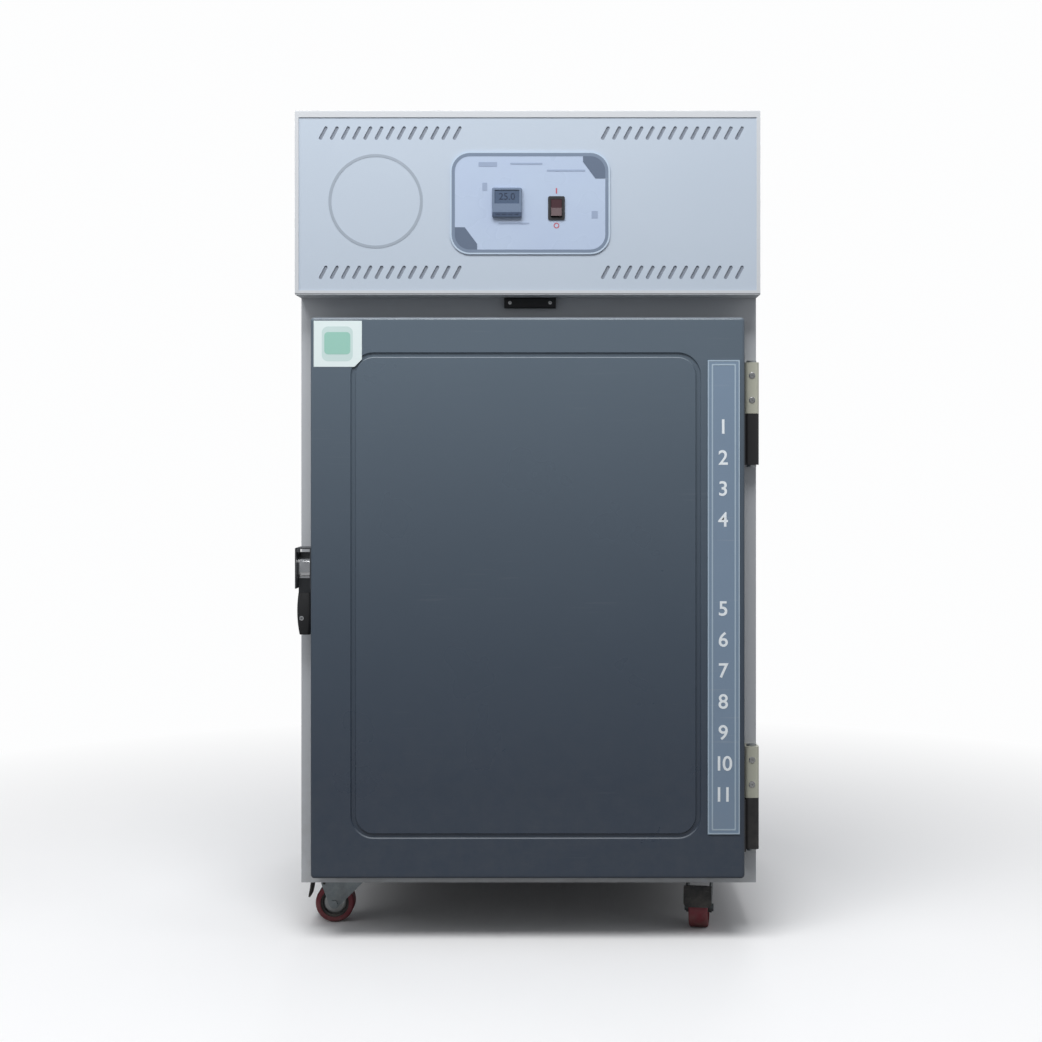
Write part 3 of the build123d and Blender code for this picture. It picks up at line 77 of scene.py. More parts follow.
vectorKind, colorKind, numberKind = "NodeSocketVector", "NodeSocketColor", "NodeSocketFloat"


def newGroup(name, inputs, outputs, treeKind="ShaderNodeTree"):
    tree = bpy.data.node_groups.new(name, treeKind)
    for label, kind, value in inputs:
        socket = tree.interface.new_socket(label, in_out="INPUT", socket_type=kind)
        if value is not None:
            socket.default_value = value
    for label, kind in outputs:
        tree.interface.new_socket(label, in_out="OUTPUT", socket_type=kind)
    return tree, tree.nodes.new("NodeGroupInput").outputs, tree.nodes.new("NodeGroupOutput")


# links a socket, or sets a plain value
def plug(tree, socket, value):
    if isinstance(value, bpy.types.NodeSocket):
        tree.links.new(value, socket)
    else:
        socket.default_value = value


# inputs by name, with _ for a space, or by number as i0, i1 and so on
def feed(tree, made, **values):
    for key, value in values.items():
        byNumber = key[0] == "i" and key[1:].isdigit()
        plug(tree, made.inputs[int(key[1:]) if byNumber else key.replace("_", " ")], value)


def node(tree, kind, settings=None, **values):
    made = tree.nodes.new(kind)
    for key, value in (settings or {}).items():
        setattr(made, key, value)
    feed(tree, made, **values)
    return made


def mathOf(tree, operation, a, b=None, c=None, clamp=False):
    made = node(tree, "ShaderNodeMath", {"operation": operation, "use_clamp": clamp})
    for slot, value in enumerate((a, b, c)):
        if value is not None:
            plug(tree, made.inputs[slot], value)
    return made.outputs[0]


def times(tree, product, *others):
    for value in others:
        product = mathOf(tree, "MULTIPLY", product, value)
    return product


# share of a, and the rest of b
def sumOf(tree, a, b, share):
    return mathOf(tree, "ADD", times(tree, a, share), times(tree, b, 1 - share))


def mixOf(tree, factor, a, b, blend="MIX"):
    return node(tree, "ShaderNodeMix", {"data_type": "RGBA", "blend_type": blend}, i0=factor, i6=a,
                i7=b).outputs[2]


def noiseOf(tree, vector, scale, detail=3.0, rough=0.55):
    return node(tree, "ShaderNodeTexNoise", Vector=vector, Scale=scale, Detail=detail,
                Roughness=rough).outputs["Fac"]


def remap(tree, value, low, high, toLow=0.0, toHigh=1.0):
    return node(tree, "ShaderNodeMapRange", {"clamp": True}, Value=value, From_Min=low, From_Max=high,
                To_Min=toLow, To_Max=toHigh).outputs["Result"]


def heightOf(tree, vector):
    return node(tree, "ShaderNodeSeparateXYZ", i0=vector).outputs[2]


# view and light

view = {"lens": 57.9, "sensor": 36, "place": (0.075, -3.085, 0.786), "tilt": 90, "shiftX": -0.051,
        "shiftY": -0.061, "reach": 60}
cameraData = bpy.data.cameras.new("photoView")
cameraData.lens = view["lens"]
cameraData.sensor_width = view["sensor"]
cameraData.shift_x = view["shiftX"]
cameraData.shift_y = view["shiftY"]
cameraData.clip_end = view["reach"]
cameraObject = addObject("photoView", cameraData)
cameraObject.location = view["place"]
cameraObject.rotation_euler = (math.radians(view["tilt"]), 0, 0)
scene.camera = cameraObject
scene.view_settings.view_transform = "Standard"

lamps = {
    "overhead": {"place": (-0.3, -1.75, 2.9), "aim": (0, -0.3, 1.1), "size": (2.2, 1.1), "power": 72},
    "leftFill": {"place": (-3.0, -1.6, 2.2), "aim": (0, 0, 0.9), "size": (1.4, 1.8), "power": 16},
    "rightFill": {"place": (3.0, -1.4, 2.0), "aim": (0, 0, 0.8), "size": (1.4, 1.6), "power": 10},
    "rearFill": {"place": (0.4, 3.2, 2.6), "aim": (0, 0, 0.9), "size": (2.4, 1.6), "power": 40},
}
for name, lamp in lamps.items():
    light = bpy.data.lights.new(name, "AREA")
    light.shape = "RECTANGLE"
    light.size, light.size_y = lamp["size"]
    light.energy = lamp["power"]
    holder = addObject(name, light)
    holder.location = lamp["place"]
    aim = Vector(lamp["aim"]) - Vector(lamp["place"])
    holder.rotation_euler = aim.to_track_quat("-Z", "Y").to_euler()

# the camera sees a white backdrop; what lights the object is dimmer
studio = {"sky": (0.92, 0.95, 1.0, 1), "skyStrength": 0.30, "backdrop": (0.985, 0.987, 0.99, 1)}
world = bpy.data.worlds.new("studio")
world.use_nodes = True
sky = world.node_tree
shine = sky.nodes["Background"]
feed(sky, shine, Color=studio["sky"], Strength=studio["skyStrength"])
backdrop = node(sky, "ShaderNodeBackground", Color=studio["backdrop"])
path = sky.nodes.new("ShaderNodeLightPath")
mixer = node(sky, "ShaderNodeMixShader", i0=path.outputs["Is Camera Ray"], i1=shine.outputs[0],
             i2=backdrop.outputs[0])
feed(sky, sky.nodes["World Output"], Surface=mixer.outputs[0])
scene.world = world
print("view and light set")


# effects that several materials share

# powder coat: fine peel in the surface, slight clouding in the colour and the gloss
def makePaintSkin():
    tree, ins, outs = newGroup(
        "paintSkin",
        [("Vector", vectorKind, None), ("Color", colorKind, (0.8, 0.8, 0.8, 1)),
         ("Peel Scale", numberKind, 420.0), ("Clouding", numberKind, 0.06), ("Roughness", numberKind, 0.4),
         ("Gloss Change", numberKind, 0.08)],
        [("Color", colorKind), ("Roughness", numberKind), ("Height", numberKind)])
    vector, color = ins["Vector"], ins["Color"]
    shade = (0.55, 0.56, 0.58, 1)
    clouds = noiseOf(tree, vector, scale=3.2, detail=4.0, rough=0.6)
    specks = noiseOf(tree, vector, scale=900.0, detail=1.0, rough=0.5)
    darker = mixOf(tree, 1.0, color, shade, "MULTIPLY")
    spread = remap(tree, sumOf(tree, clouds, specks, 0.75), 0.1, 0.9)
    clouded = mixOf(tree, times(tree, spread, ins["Clouding"]), color, darker)
    patches = remap(tree, noiseOf(tree, vector, scale=7.0), 0.1, 0.9, -1.0, 1.0)
    rough = mathOf(tree, "MULTIPLY_ADD", patches, ins["Gloss Change"], ins["Roughness"], True)
    peel = noiseOf(tree, vector, ins["Peel Scale"], detail=2.0, rough=0.5)
    feed(tree, outs, Color=clouded, Roughness=rough, Height=peel)
    return tree


# brushed or drawn metal: streaks along one axis, set by Stretch
def makeMetalGrain():
    tree, ins, outs = newGroup(
        "metalGrain",
        [("Vector", vectorKind, None), ("Color", colorKind, (0.7, 0.7, 0.7, 1)),
         ("Stretch", vectorKind, (1.0, 1.0, 60.0)), ("Contrast", numberKind, 0.2),
         ("Roughness", numberKind, 0.3)],
        [("Color", colorKind), ("Roughness", numberKind), ("Height", numberKind)])
    vector, color = ins["Vector"], ins["Color"]
    shade = (0.45, 0.46, 0.48, 1)
    pulled = node(tree, "ShaderNodeVectorMath", {"operation": "MULTIPLY"}, i0=vector, i1=ins["Stretch"])
    streaks = noiseOf(tree, pulled.outputs[0], scale=22.0, detail=5.0, rough=0.7)
    clouds = noiseOf(tree, vector, scale=9.0, rough=0.6)
    darker = mixOf(tree, 1.0, color, shade, "MULTIPLY")
    spread = remap(tree, sumOf(tree, streaks, clouds, 0.7), 0.35, 0.7)
    shaded = mixOf(tree, times(tree, spread, ins["Contrast"]), color, darker)
    shift = remap(tree, streaks, 0.3, 0.7, -0.08, 0.08)
    rough = mathOf(tree, "ADD", ins["Roughness"], shift, None, True)
    feed(tree, outs, Color=shaded, Roughness=rough, Height=streaks)
    return tree


# dust that settles low down: a colour mixed in below a height, broken up by noise
def makeFloorDust():
    tree, ins, outs = newGroup(
        "floorDust",
        [("Vector", vectorKind, None), ("Color", colorKind, (0.5, 0.5, 0.5, 1)),
         ("Dust Color", colorKind, tone(150, 144, 134)), ("Low", numberKind, 0.0), ("High", numberKind, 0.2),
         ("Amount", numberKind, 0.3), ("Roughness", numberKind, 0.4)],
        [("Color", colorKind), ("Roughness", numberKind)])
    vector = ins["Vector"]
    duller = 0.4
    fall = remap(tree, heightOf(tree, vector), ins["Low"], ins["High"], 1.0, 0.0)
    broken = remap(tree, noiseOf(tree, vector, scale=48.0, detail=5.0, rough=0.65), 0.35, 0.7)
    mask = times(tree, fall, broken, ins["Amount"])
    feed(tree, outs, Color=mixOf(tree, mask, ins["Color"], ins["Dust Color"]),
         Roughness=mathOf(tree, "MULTIPLY_ADD", mask, duller, ins["Roughness"], True))
    return tree


# fine straight scratches in a few rubbed places, as a mask
def makeScuffs():
    tree, ins, outs = newGroup(
        "scuffs",
        [("Vector", vectorKind, None), ("Scale", numberKind, 60.0), ("Amount", numberKind, 0.3)],
        [("Mask", numberKind)])
    vector = ins["Vector"]
    strokes = []
    for turn, stretch in ((0.5, 26.0), (-0.9, 34.0)):
        slanted = node(tree, "ShaderNodeMapping", Vector=vector, Rotation=(turn, turn, turn),
                       Scale=(1.0, stretch, stretch)).outputs[0]
        strokes.append(remap(tree, noiseOf(tree, slanted, ins["Scale"], detail=1.0), 0.68, 0.74))
    spots = remap(tree, noiseOf(tree, vector, scale=7.0), 0.5, 0.68)
    either = mathOf(tree, "MAXIMUM", *strokes)
    feed(tree, outs, Mask=times(tree, either, spots, ins["Amount"]))
    return tree


# 1 inside an upright rectangle seen from the front, 0 outside
def makePanelMask():
    tree, ins, outs = newGroup(
        "panelMask",
        [("Vector", vectorKind, None), ("Middle X", numberKind, 0.0), ("Middle Z", numberKind, 0.0),
         ("Half Width", numberKind, 0.01), ("Half Height", numberKind, 0.01),
         ("Softness", numberKind, 0.0002)],
        [("Mask", numberKind)])
    parts = node(tree, "ShaderNodeSeparateXYZ", i0=ins["Vector"])
    masks = []
    for axis, middle, half in ((0, "Middle X", "Half Width"), (2, "Middle Z", "Half Height")):
        away = mathOf(tree, "ABSOLUTE", mathOf(tree, "SUBTRACT", parts.outputs[axis], ins[middle]))
        inside = mathOf(tree, "SUBTRACT", ins[half], away)
        masks.append(remap(tree, inside, 0.0, ins["Softness"]))
    feed(tree, outs, Mask=times(tree, *masks))
    return tree


effects = {"paintSkin": makePaintSkin(), "metalGrain": makeMetalGrain(), "floorDust": makeFloorDust(),
           "scuffs": makeScuffs(), "panelMask": makePanelMask()}


def effect(tree, name, **values):
    return node(tree, "ShaderNodeGroup", {"node_tree": effects[name]}, **values).outputs


# materials

def blankMaterial(name, metallic=0.0, **settings):
    material = bpy.data.materials.new(name)
    material.use_nodes = True
    tree = material.node_tree
    shader = tree.nodes["Principled BSDF"]
    feed(tree, shader, Metallic=metallic, **settings)
    where = tree.nodes.new("ShaderNodeTexCoord").outputs["Object"]
    return material, tree, shader, where


def feedShader(tree, shader, color, rough, height, strength, distance):
    bump = node(tree, "ShaderNodeBump", Height=height, Strength=strength, Distance=distance)
    feed(tree, shader, Base_Color=color, Roughness=rough, Normal=bump.outputs["Normal"])


def dustOver(tree, where, under, amount, high, low=0.0):
    return effect(tree, "floorDust", Vector=where, Color=under["Color"], Low=low, High=high,
                  Amount=amount, Roughness=under["Roughness"])


# painted sheet metal, with dust near the floor and a few rubbed lines. The optional colour for low down, with
# the heights it begins and ends at, is painted shade that darkens the paint towards the bottom;
# the optional amount for faces that look up is a painted highlight, lighter where light from above falls;
# seam is a dark line's height
# marks on painted sheet: the scratch tone, the painted highlight on faces that look up (its light tone and
# the range of how far a face looks up), the dark seam line, and the peel's depth
sheetDetails = {"scratch": tone(186, 188, 190), "scratchScale": 9.0, "scratchRough": 0.2,
             "highlightTone": tone(158, 164, 170), "highlightFrom": 0.4, "highlightTo": 0.9, "seam": tone(44, 46, 49),
             "seamHalf": 0.0005, "seamEnd": 0.0009, "seamStrength": 0.75, "peelDepth": 0.0004}


def paintedSheet(name, color, rough=0.38, peel=420.0, clouding=0.08, dust=0.25, scuff=0.25, low=0.08,
                 high=0.35, coat=0.0, bump=0.12, paintedShade=None, upHighlight=0.0, seam=None):
    material, tree, shader, where = blankMaterial(name, Coat_Weight=coat, Coat_Roughness=0.18)
    details = sheetDetails
    # painted shade: the colour darkens towards the bottom, in place of the light that falls off there
    if paintedShade:
        shadeTone, lowZ, highZ = paintedShade
        color = mixOf(tree, remap(tree, heightOf(tree, where), lowZ, highZ), shadeTone, color)
    skin = effect(tree, "paintSkin", Vector=where, Color=color, Peel_Scale=peel, Clouding=clouding,
                  Roughness=rough)
    dusty = dustOver(tree, where, skin, dust, high, low)
    scratches = effect(tree, "scuffs", Vector=where, Scale=details["scratchScale"], Amount=scuff)["Mask"]
    surfaceTone = mixOf(tree, scratches, dusty["Color"], details["scratch"])
    # painted highlight: faces that look up are made lighter, as where light from above falls on them
    if upHighlight:
        upward = heightOf(tree, tree.nodes.new("ShaderNodeNewGeometry").outputs["Normal"])
        litFaces = remap(tree, upward, details["highlightFrom"], details["highlightTo"], 0.0, upHighlight)
        surfaceTone = mixOf(tree, litFaces, surfaceTone, details["highlightTone"])
    if seam:
        away = mathOf(tree, "ABSOLUTE", mathOf(tree, "SUBTRACT", heightOf(tree, where), seam))
        line = remap(tree, away, details["seamHalf"], details["seamEnd"], details["seamStrength"], 0.0)
        surfaceTone = mixOf(tree, line, surfaceTone, details["seam"])
    gloss = mathOf(tree, "MULTIPLY_ADD", scratches, details["scratchRough"], dusty["Roughness"], True)
    feedShader(tree, shader, surfaceTone, gloss, skin["Height"], bump, details["peelDepth"])
    return material


# bare metal with a grain; its scratches show in the gloss only
metalWear = {"scratchScale": 22.0, "scratchRough": 0.3, "grainDepth": 0.0003}


def grainMetal(name, color, rough=0.3, stretch=(1, 1, 60), contrast=0.25, dust=0.0, high=0.12, bump=0.1,
               scuff=0.15):
    material, tree, shader, where = blankMaterial(name, 1.0)
    grain = effect(tree, "metalGrain", Vector=where, Color=color, Stretch=stretch, Contrast=contrast,
                   Roughness=rough)
    dusty = dustOver(tree, where, grain, dust, high)
    scratches = effect(tree, "scuffs", Vector=where, Scale=metalWear["scratchScale"], Amount=scuff)
    gloss = mathOf(tree, "MULTIPLY_ADD", scratches["Mask"], metalWear["scratchRough"],
                   dusty["Roughness"], True)
    feedShader(tree, shader, dusty["Color"], gloss, grain["Height"], bump,
               metalWear["grainDepth"])
    return material


# moulded plastic or rubber, with the mould's fine spark texture
mouldWear = {"clouding": 0.15, "glossChange": 0.1, "scratch": tone(90, 90, 92), "scratchScale": 26.0,
             "textureDepth": 0.0003}


def moulded(name, color, rough=0.5, texture=700.0, bump=0.2, dust=0.1, high=0.12, scuff=0.2,
            details=mouldWear):
    material, tree, shader, where = blankMaterial(name)
    skin = effect(tree, "paintSkin", Vector=where, Color=color, Peel_Scale=texture,
                  Clouding=details["clouding"], Roughness=rough, Gloss_Change=details["glossChange"])
    dusty = dustOver(tree, where, skin, dust, high)
    scratches = effect(tree, "scuffs", Vector=where, Scale=details["scratchScale"], Amount=scuff)
    surfaceTone = mixOf(tree, scratches["Mask"], dusty["Color"], details["scratch"])
    feedShader(tree, shader, surfaceTone, dusty["Roughness"], skin["Height"], bump,
               details["textureDepth"])
    return material


# print or film: paint with a finer and flatter peel
def ink(name, color, rough=0.36, peel=800.0, bump=0.04, **more):
    return paintedSheet(name, color, rough=rough, peel=peel, bump=bump, **more)


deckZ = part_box("head_side_left")[0][2]
casingPaint = paintedSheet("casingPaint", tone(200, 203, 207), rough=0.36, seam=deckZ)
basePaint = paintedSheet("basePaint", tone(150, 152, 155), rough=0.5, dust=0.6)
fasciaPaint = paintedSheet("fasciaPaint", tone(184, 195, 208), rough=0.34, peel=520.0, scuff=0.0,
                           clouding=0.05)
# the door's paint carries painted shade, darker towards the bottom, and a painted highlight on faces that
# look up
doorPaint = paintedSheet("doorPaint", tone(92, 105, 117), rough=0.3, peel=380.0, clouding=0.18, scuff=0.03,
                         coat=0.2, high=0.45, dust=0.05, upHighlight=0.42, paintedShade=(tone(59, 69, 83), 0.25, 0.95))
hingeCream = paintedSheet("hingeCream", tone(196, 196, 180), rough=0.42, scuff=0.5, dust=0.1)
hingeDark = paintedSheet("hingeDark", tone(46, 45, 47), rough=0.38, scuff=0.5, dust=0.15)
latchPaint = paintedSheet("latchPaint", tone(62, 64, 67), rough=0.4, scuff=0.6, dust=0.1)
pedalPaint = paintedSheet("pedalPaint", tone(34, 34, 36), rough=0.45, scuff=0.7, dust=0.5, low=0.0, high=0.12)
machinePaint = paintedSheet("machinePaint", tone(38, 39, 42), rough=0.34, peel=260.0, dust=0.3, low=1.0,
                            high=1.3)
motorPaint = paintedSheet("motorPaint", tone(120, 124, 128), rough=0.45, dust=0.2, low=0.7, high=1.3)

stainless = grainMetal("stainless", (0.62, 0.63, 0.64, 1), rough=0.27, stretch=(60, 60, 1), contrast=0.22)
zincSteel = grainMetal("zincSteel", (0.56, 0.58, 0.58, 1), rough=0.36, stretch=(4, 4, 4), contrast=0.5,
                       dust=0.5)
# castor forks: a darker copy of zincSteel, painted shade for the shade under the cabinet
shadedForkSteel = grainMetal("shadedForkSteel", (0.33, 0.37, 0.39, 1), rough=0.38, stretch=(4, 4, 4), contrast=0.5,
                       dust=0.3)
screwSteel = grainMetal("screwSteel", (0.66, 0.66, 0.65, 1), rough=0.25, stretch=(6, 6, 6), contrast=0.4)
latchChrome = grainMetal("latchChrome", (0.82, 0.83, 0.84, 1), rough=0.12, stretch=(2, 2, 2), contrast=0.1,
                         bump=0.03, scuff=0.4)
copperTube = grainMetal("copperTube", (0.72, 0.40, 0.26, 1), rough=0.3, stretch=(3, 3, 3), contrast=0.7)

blackPlastic = moulded("blackPlastic", tone(40, 41, 44), rough=0.5)
gripRubber = moulded("gripRubber", tone(26, 27, 29), rough=0.55, texture=500.0, bump=0.35)
sensorPlastic = moulded("sensorPlastic", tone(24, 25, 27), rough=0.42)
fanPlastic = moulded("fanPlastic", tone(44, 46, 48), rough=0.45)
wheelCore = moulded("wheelCore", tone(52, 52, 54), rough=0.55, dust=0.6, high=0.08)
rockerPlastic = moulded("rockerPlastic", tone(58, 22, 32), rough=0.5, texture=900.0, bump=0.05)
sealRubber = moulded("sealRubber", tone(58, 59, 61), rough=0.62, texture=300.0, bump=0.25, scuff=0.1)
readoutInk = moulded("readoutInk", tone(48, 58, 78), rough=0.3)

stripFilm = ink("stripFilm", tone(126, 145, 166), rough=0.32, peel=700.0, scuff=0.15, dust=0.1, clouding=0.2,
                bump=0.05)
stripLineInk = ink("stripLineInk", tone(168, 186, 200), rough=0.4)
numberInk = ink("numberInk", tone(236, 242, 246), rough=0.4)
plateEdgeInk = ink("plateEdgeInk", tone(120, 134, 154))
plateHaloInk = ink("plateHaloInk", tone(186, 202, 218))
plateBarInk = ink("plateBarInk", tone(150, 164, 188))
plateCornerInk = ink("plateCornerInk", tone(98, 111, 131))
ringInk = ink("ringInk", tone(156, 166, 178), rough=0.38)
labelFilm = ink("labelFilm", tone(228, 240, 240), rough=0.3, peel=900.0, scuff=0.0, dust=0.0, clouding=0.05,
                bump=0.03)
labelPale = ink("labelPale", tone(204, 224, 222), rough=0.3, peel=900.0, scuff=0.0, bump=0.03)
labelGreen = ink("labelGreen", tone(156, 204, 190), rough=0.3, peel=900.0, scuff=0.0, bump=0.03)
redInk = ink("redInk", tone(186, 96, 108), rough=0.4, peel=900.0, bump=0.03)


# control plate film: pale blue in two tints that drift into each other
def makePlateFilm():
    material, tree, shader, where = blankMaterial("plateFilm", Coat_Weight=0.3, Coat_Roughness=0.2)
    skin = effect(tree, "paintSkin", Vector=where, Color=tone(177, 191, 216), Peel_Scale=900.0,
                  Clouding=0.1, Roughness=0.28)
    drift = remap(tree, noiseOf(tree, where, scale=11.0, detail=2.0, rough=0.5), 0.1, 0.9)
    tint = mixOf(tree, drift, skin["Color"], tone(181, 196, 216))
    feedShader(tree, shader, tint, skin["Roughness"], skin["Height"], 0.05, 0.0003)
    return material


# controller: blue-grey case, dark window and a dark band with the keys
controllerLook = {"case": tone(112, 127, 150), "windowTone": tone(80, 95, 118), "windowDrop": 0.015,
                  "windowHalf": (0.0199, 0.0109), "windowGloss": -0.26, "bandTone": tone(66, 80, 104),
                  "bandRise": 0.0048, "bandHalf": (0.0236, 0.0034)}


def makeControllerFace(low, high, look):
    material, tree, shader, where = blankMaterial("controllerFace", Coat_Weight=0.2, Coat_Roughness=0.15)
    skin = effect(tree, "paintSkin", Vector=where, Color=look["case"], Peel_Scale=800.0, Clouding=0.12,
                  Roughness=0.36)

    def panel(middleZ, half):
        return effect(tree, "panelMask", Vector=where, Middle_X=(low.x + high.x) / 2, Middle_Z=middleZ,
                      Half_Width=half[0], Half_Height=half[1])["Mask"]

    window = panel(high.z - look["windowDrop"], look["windowHalf"])
    band = panel(low.z + look["bandRise"], look["bandHalf"])
    first = mixOf(tree, window, skin["Color"], look["windowTone"])
    color = mixOf(tree, band, first, look["bandTone"])
    glassy = times(tree, window, look["windowGloss"])
    rough = mathOf(tree, "ADD", skin["Roughness"], glassy, None, True)
    feedShader(tree, shader, color, rough, skin["Height"], 0.08, 0.0003)
    return material


# aluminium fins: fine upright lines, with painted shade between them where the gaps fall dark
def makeCoilFins():
    material, tree, shader, where = blankMaterial("coilFins", 1.0)
    # the dark tone between the fin lines is painted shade of the gaps
    fin, gap = (0.68, 0.69, 0.7, 1), (0.16, 0.165, 0.17, 1)
    lines = node(tree, "ShaderNodeTexWave", {"bands_direction": "X"}, Vector=where, Scale=160.0)
    grain = effect(tree, "metalGrain", Vector=where, Color=fin, Stretch=(2, 2, 2), Contrast=0.4,
                   Roughness=0.38)
    color = mixOf(tree, remap(tree, lines.outputs["Fac"], 0.2, 0.8), gap, grain["Color"])
    feedShader(tree, shader, color, grain["Roughness"], lines.outputs["Fac"], 0.5, 0.0008)
    return material


# glass fibre insulation: matted threads in pale yellow
def makeFibre():
    material, tree, shader, where = blankMaterial("fibreWool", Sheen_Weight=0.3)
    threads = noiseOf(tree, where, scale=140.0, detail=8.0, rough=0.75)
    lumps = noiseOf(tree, where, scale=18.0, detail=4.0, rough=0.6)
    matted = sumOf(tree, threads, lumps, 0.6)
    color = mixOf(tree, remap(tree, matted, 0.3, 0.7), tone(178, 160, 104), tone(236, 224, 178))
    feedShader(tree, shader, color, remap(tree, threads, 0.3, 0.7, 0.85, 1.0), matted, 0.9, 0.004)
    return material


# tread: deep red polyurethane, dusty where it meets the floor, with dark scratches
def makeTread():
    material, tree, shader, where = blankMaterial("wheelTread")
    skin = effect(tree, "paintSkin", Vector=where, Color=tone(138, 52, 63), Peel_Scale=500.0,
                  Clouding=0.35, Roughness=0.46)
    dusty = dustOver(tree, where, skin, amount=0.55, high=0.05)
    scratches = effect(tree, "scuffs", Vector=where, Scale=30.0, Amount=0.5)
    color = mixOf(tree, scratches["Mask"], dusty["Color"], tone(60, 34, 38))
    feedShader(tree, shader, color, dusty["Roughness"], skin["Height"], 0.3, 0.0004)
    return material


# latch lever: chrome tongue above, dark painted shank from a little below the pivot
leverLook = {"paintEnd": 0.0105, "chromeStart": 0.0098}


def makeLatchLever(pivotZ):
    material, tree, shader, where = blankMaterial("latchLeverFinish", 1.0)
    grain = effect(tree, "metalGrain", Vector=where, Color=(0.84, 0.85, 0.86, 1), Stretch=(2, 2, 2),
                   Contrast=0.12, Roughness=0.14)
    skin = effect(tree, "paintSkin", Vector=where, Color=tone(48, 50, 53), Peel_Scale=600.0, Clouding=0.2,
                  Roughness=0.42)
    chrome = remap(tree, heightOf(tree, where), pivotZ - leverLook["paintEnd"],
                   pivotZ - leverLook["chromeStart"])
    color = mixOf(tree, chrome, skin["Color"], grain["Color"])
    feed(tree, shader, Metallic=chrome)
    painted = mathOf(tree, "SUBTRACT", 1.0, chrome)
    rough = mathOf(tree, "ADD", times(tree, chrome, grain["Roughness"]),
                   times(tree, painted, skin["Roughness"]))
    feedShader(tree, shader, color, rough, skin["Height"], 0.08, 0.0003)
    return material


# intake filter: a grey woven mesh with lint in it
def makeFilterMesh():
    material, tree, shader, where = blankMaterial("filterMesh")
    threads = [node(tree, "ShaderNodeTexWave", {"bands_direction": direction}, Vector=where, Scale=420.0,
                    Distortion=0.4).outputs["Fac"] for direction in ("X", "Z")]
    weave = mathOf(tree, "MAXIMUM", *threads)
    lint = noiseOf(tree, where, scale=60.0, detail=4.0)
    woven = mixOf(tree, remap(tree, weave, 0.2, 0.9), tone(74, 80, 90), tone(156, 164, 177))
    color = mixOf(tree, remap(tree, lint, 0.5, 0.8, 0.0, 0.4), woven, tone(140, 142, 144))
    feedShader(tree, shader, color, remap(tree, lint, 0.3, 0.7, 0.7, 0.95), weave, 0.5, 0.0005)
    return material


plateFilm = makePlateFilm()
filterMesh = makeFilterMesh()
latchJoint = next(joint for joint in record["behaviour"]["joints"] if joint["name"] == "latch_pull")
latchLever = makeLatchLever(latchJoint["pos_m"][2])
controllerLow, controllerHigh = (Vector(p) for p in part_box("temperature_controller"))
controllerFace = makeControllerFace(controllerLow, controllerHigh, controllerLook)
coilFins = makeCoilFins()
fibreWool = makeFibre()
wheelTread = makeTread()

corners = ("front_left", "front_right", "rear_left", "rear_right")
finishes = (
    (casingPaint, ["side_panel_left", "side_panel_right", "back_panel", "deck_panel", "face_frame",
                   "head_side_left", "head_side_right", "head_lid", "head_grille"]),
    (basePaint, ["base_tray", "electrical_tray"]),
    (fasciaPaint, ["head_fascia"]),
    (doorPaint, ["door_skin"]),
    (stripFilm, ["name_strip"]),
    (plateFilm, ["control_plate"]),
    (controllerFace, ["temperature_controller"]),
    (blackPlastic, ["switch_bezel", "cable_gland"]),
    (rockerPlastic, ["rocker"]),
    (sensorPlastic, ["door_sensor"]),
    (gripRubber, ["latch_grip"]),
    (fanPlastic, ["evaporator_fan", "condenser_fan"]),
    (stainless, ["inner_liner", "shelves", "shelf_rails", "duct_cover", "door_liner", "condenser_shroud",
                 "temperature_probe"]),
    (hingeCream, ["hinge_frame_halves"]),
    (hingeDark, ["hinge_door_halves"]),
    (zincSteel, ["hinge_pins", "latch_keeper", "castor_plates"]),
    (latchLever, ["latch_lever"]),
    (latchPaint, ["latch_case"]),
    (fibreWool, ["insulation", "door_insulation"]),
    (sealRubber, ["door_gasket", "compressor_mounts"]),
    (coilFins, ["evaporator_coil", "condenser_coil"]),
    (copperTube, ["refrigerant_pipes"]),
    (machinePaint, ["compressor"]),
    (motorPaint, ["fan_motors"]),
    (pedalPaint, ["brake_pedal_front_left", "brake_pedal_front_right"]),
    (shadedForkSteel, [f"castor_fork_{corner}" for corner in corners]),
    (wheelCore, [f"castor_wheel_{corner}" for corner in corners]),
    (wheelTread, [f"castor_tread_{corner}" for corner in corners]),
)
undressed = set(frame["nodes"])
for material, names in finishes:
    undressed -= set(names)
    for name in names:
        for materialSlot in frame["nodes"][name].material_slots:
            materialSlot.material = material
print("materials made; nodes without one:", sorted(undressed))


# piece helpers

def keep(name, mesh, material, body, smooth=False):
    made = addObject(name, mesh)
    mesh.materials.clear()
    mesh.materials.append(material)
    mesh.polygons.foreach_set("use_smooth", [smooth] * len(mesh.polygons))
    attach(made, body)
    return made


def tidyMesh(mesh, gap=0.00001):
    work = bmesh.new()
    work.from_mesh(mesh)
    bmesh.ops.remove_doubles(work, verts=work.verts, dist=gap)
    bmesh.ops.recalc_face_normals(work, faces=work.faces)
    work.to_mesh(mesh)
    work.free()


smallSteps = 3  # steps in a rounding of a millimetre or two


def roundedLoop(midX, midZ, width, height, radius, steps=8):
    loop = []
    for quarter, (signX, signZ) in enumerate(((1, 1), (-1, 1), (-1, -1), (1, -1))):
        centreX = midX + signX * (width / 2 - radius)
        centreZ = midZ + signZ * (height / 2 - radius)
        for i in range(steps + 1):
            angle = math.radians(90 * quarter + 90 * i / steps)
            loop.append((centreX + radius * math.cos(angle), centreZ + radius * math.sin(angle)))
    return loop


def circleLoop(midX, midZ, radius, steps=72):
    return [(midX + radius * math.cos(2 * math.pi * i / steps),
             midZ + radius * math.sin(2 * math.pi * i / steps)) for i in range(steps)]


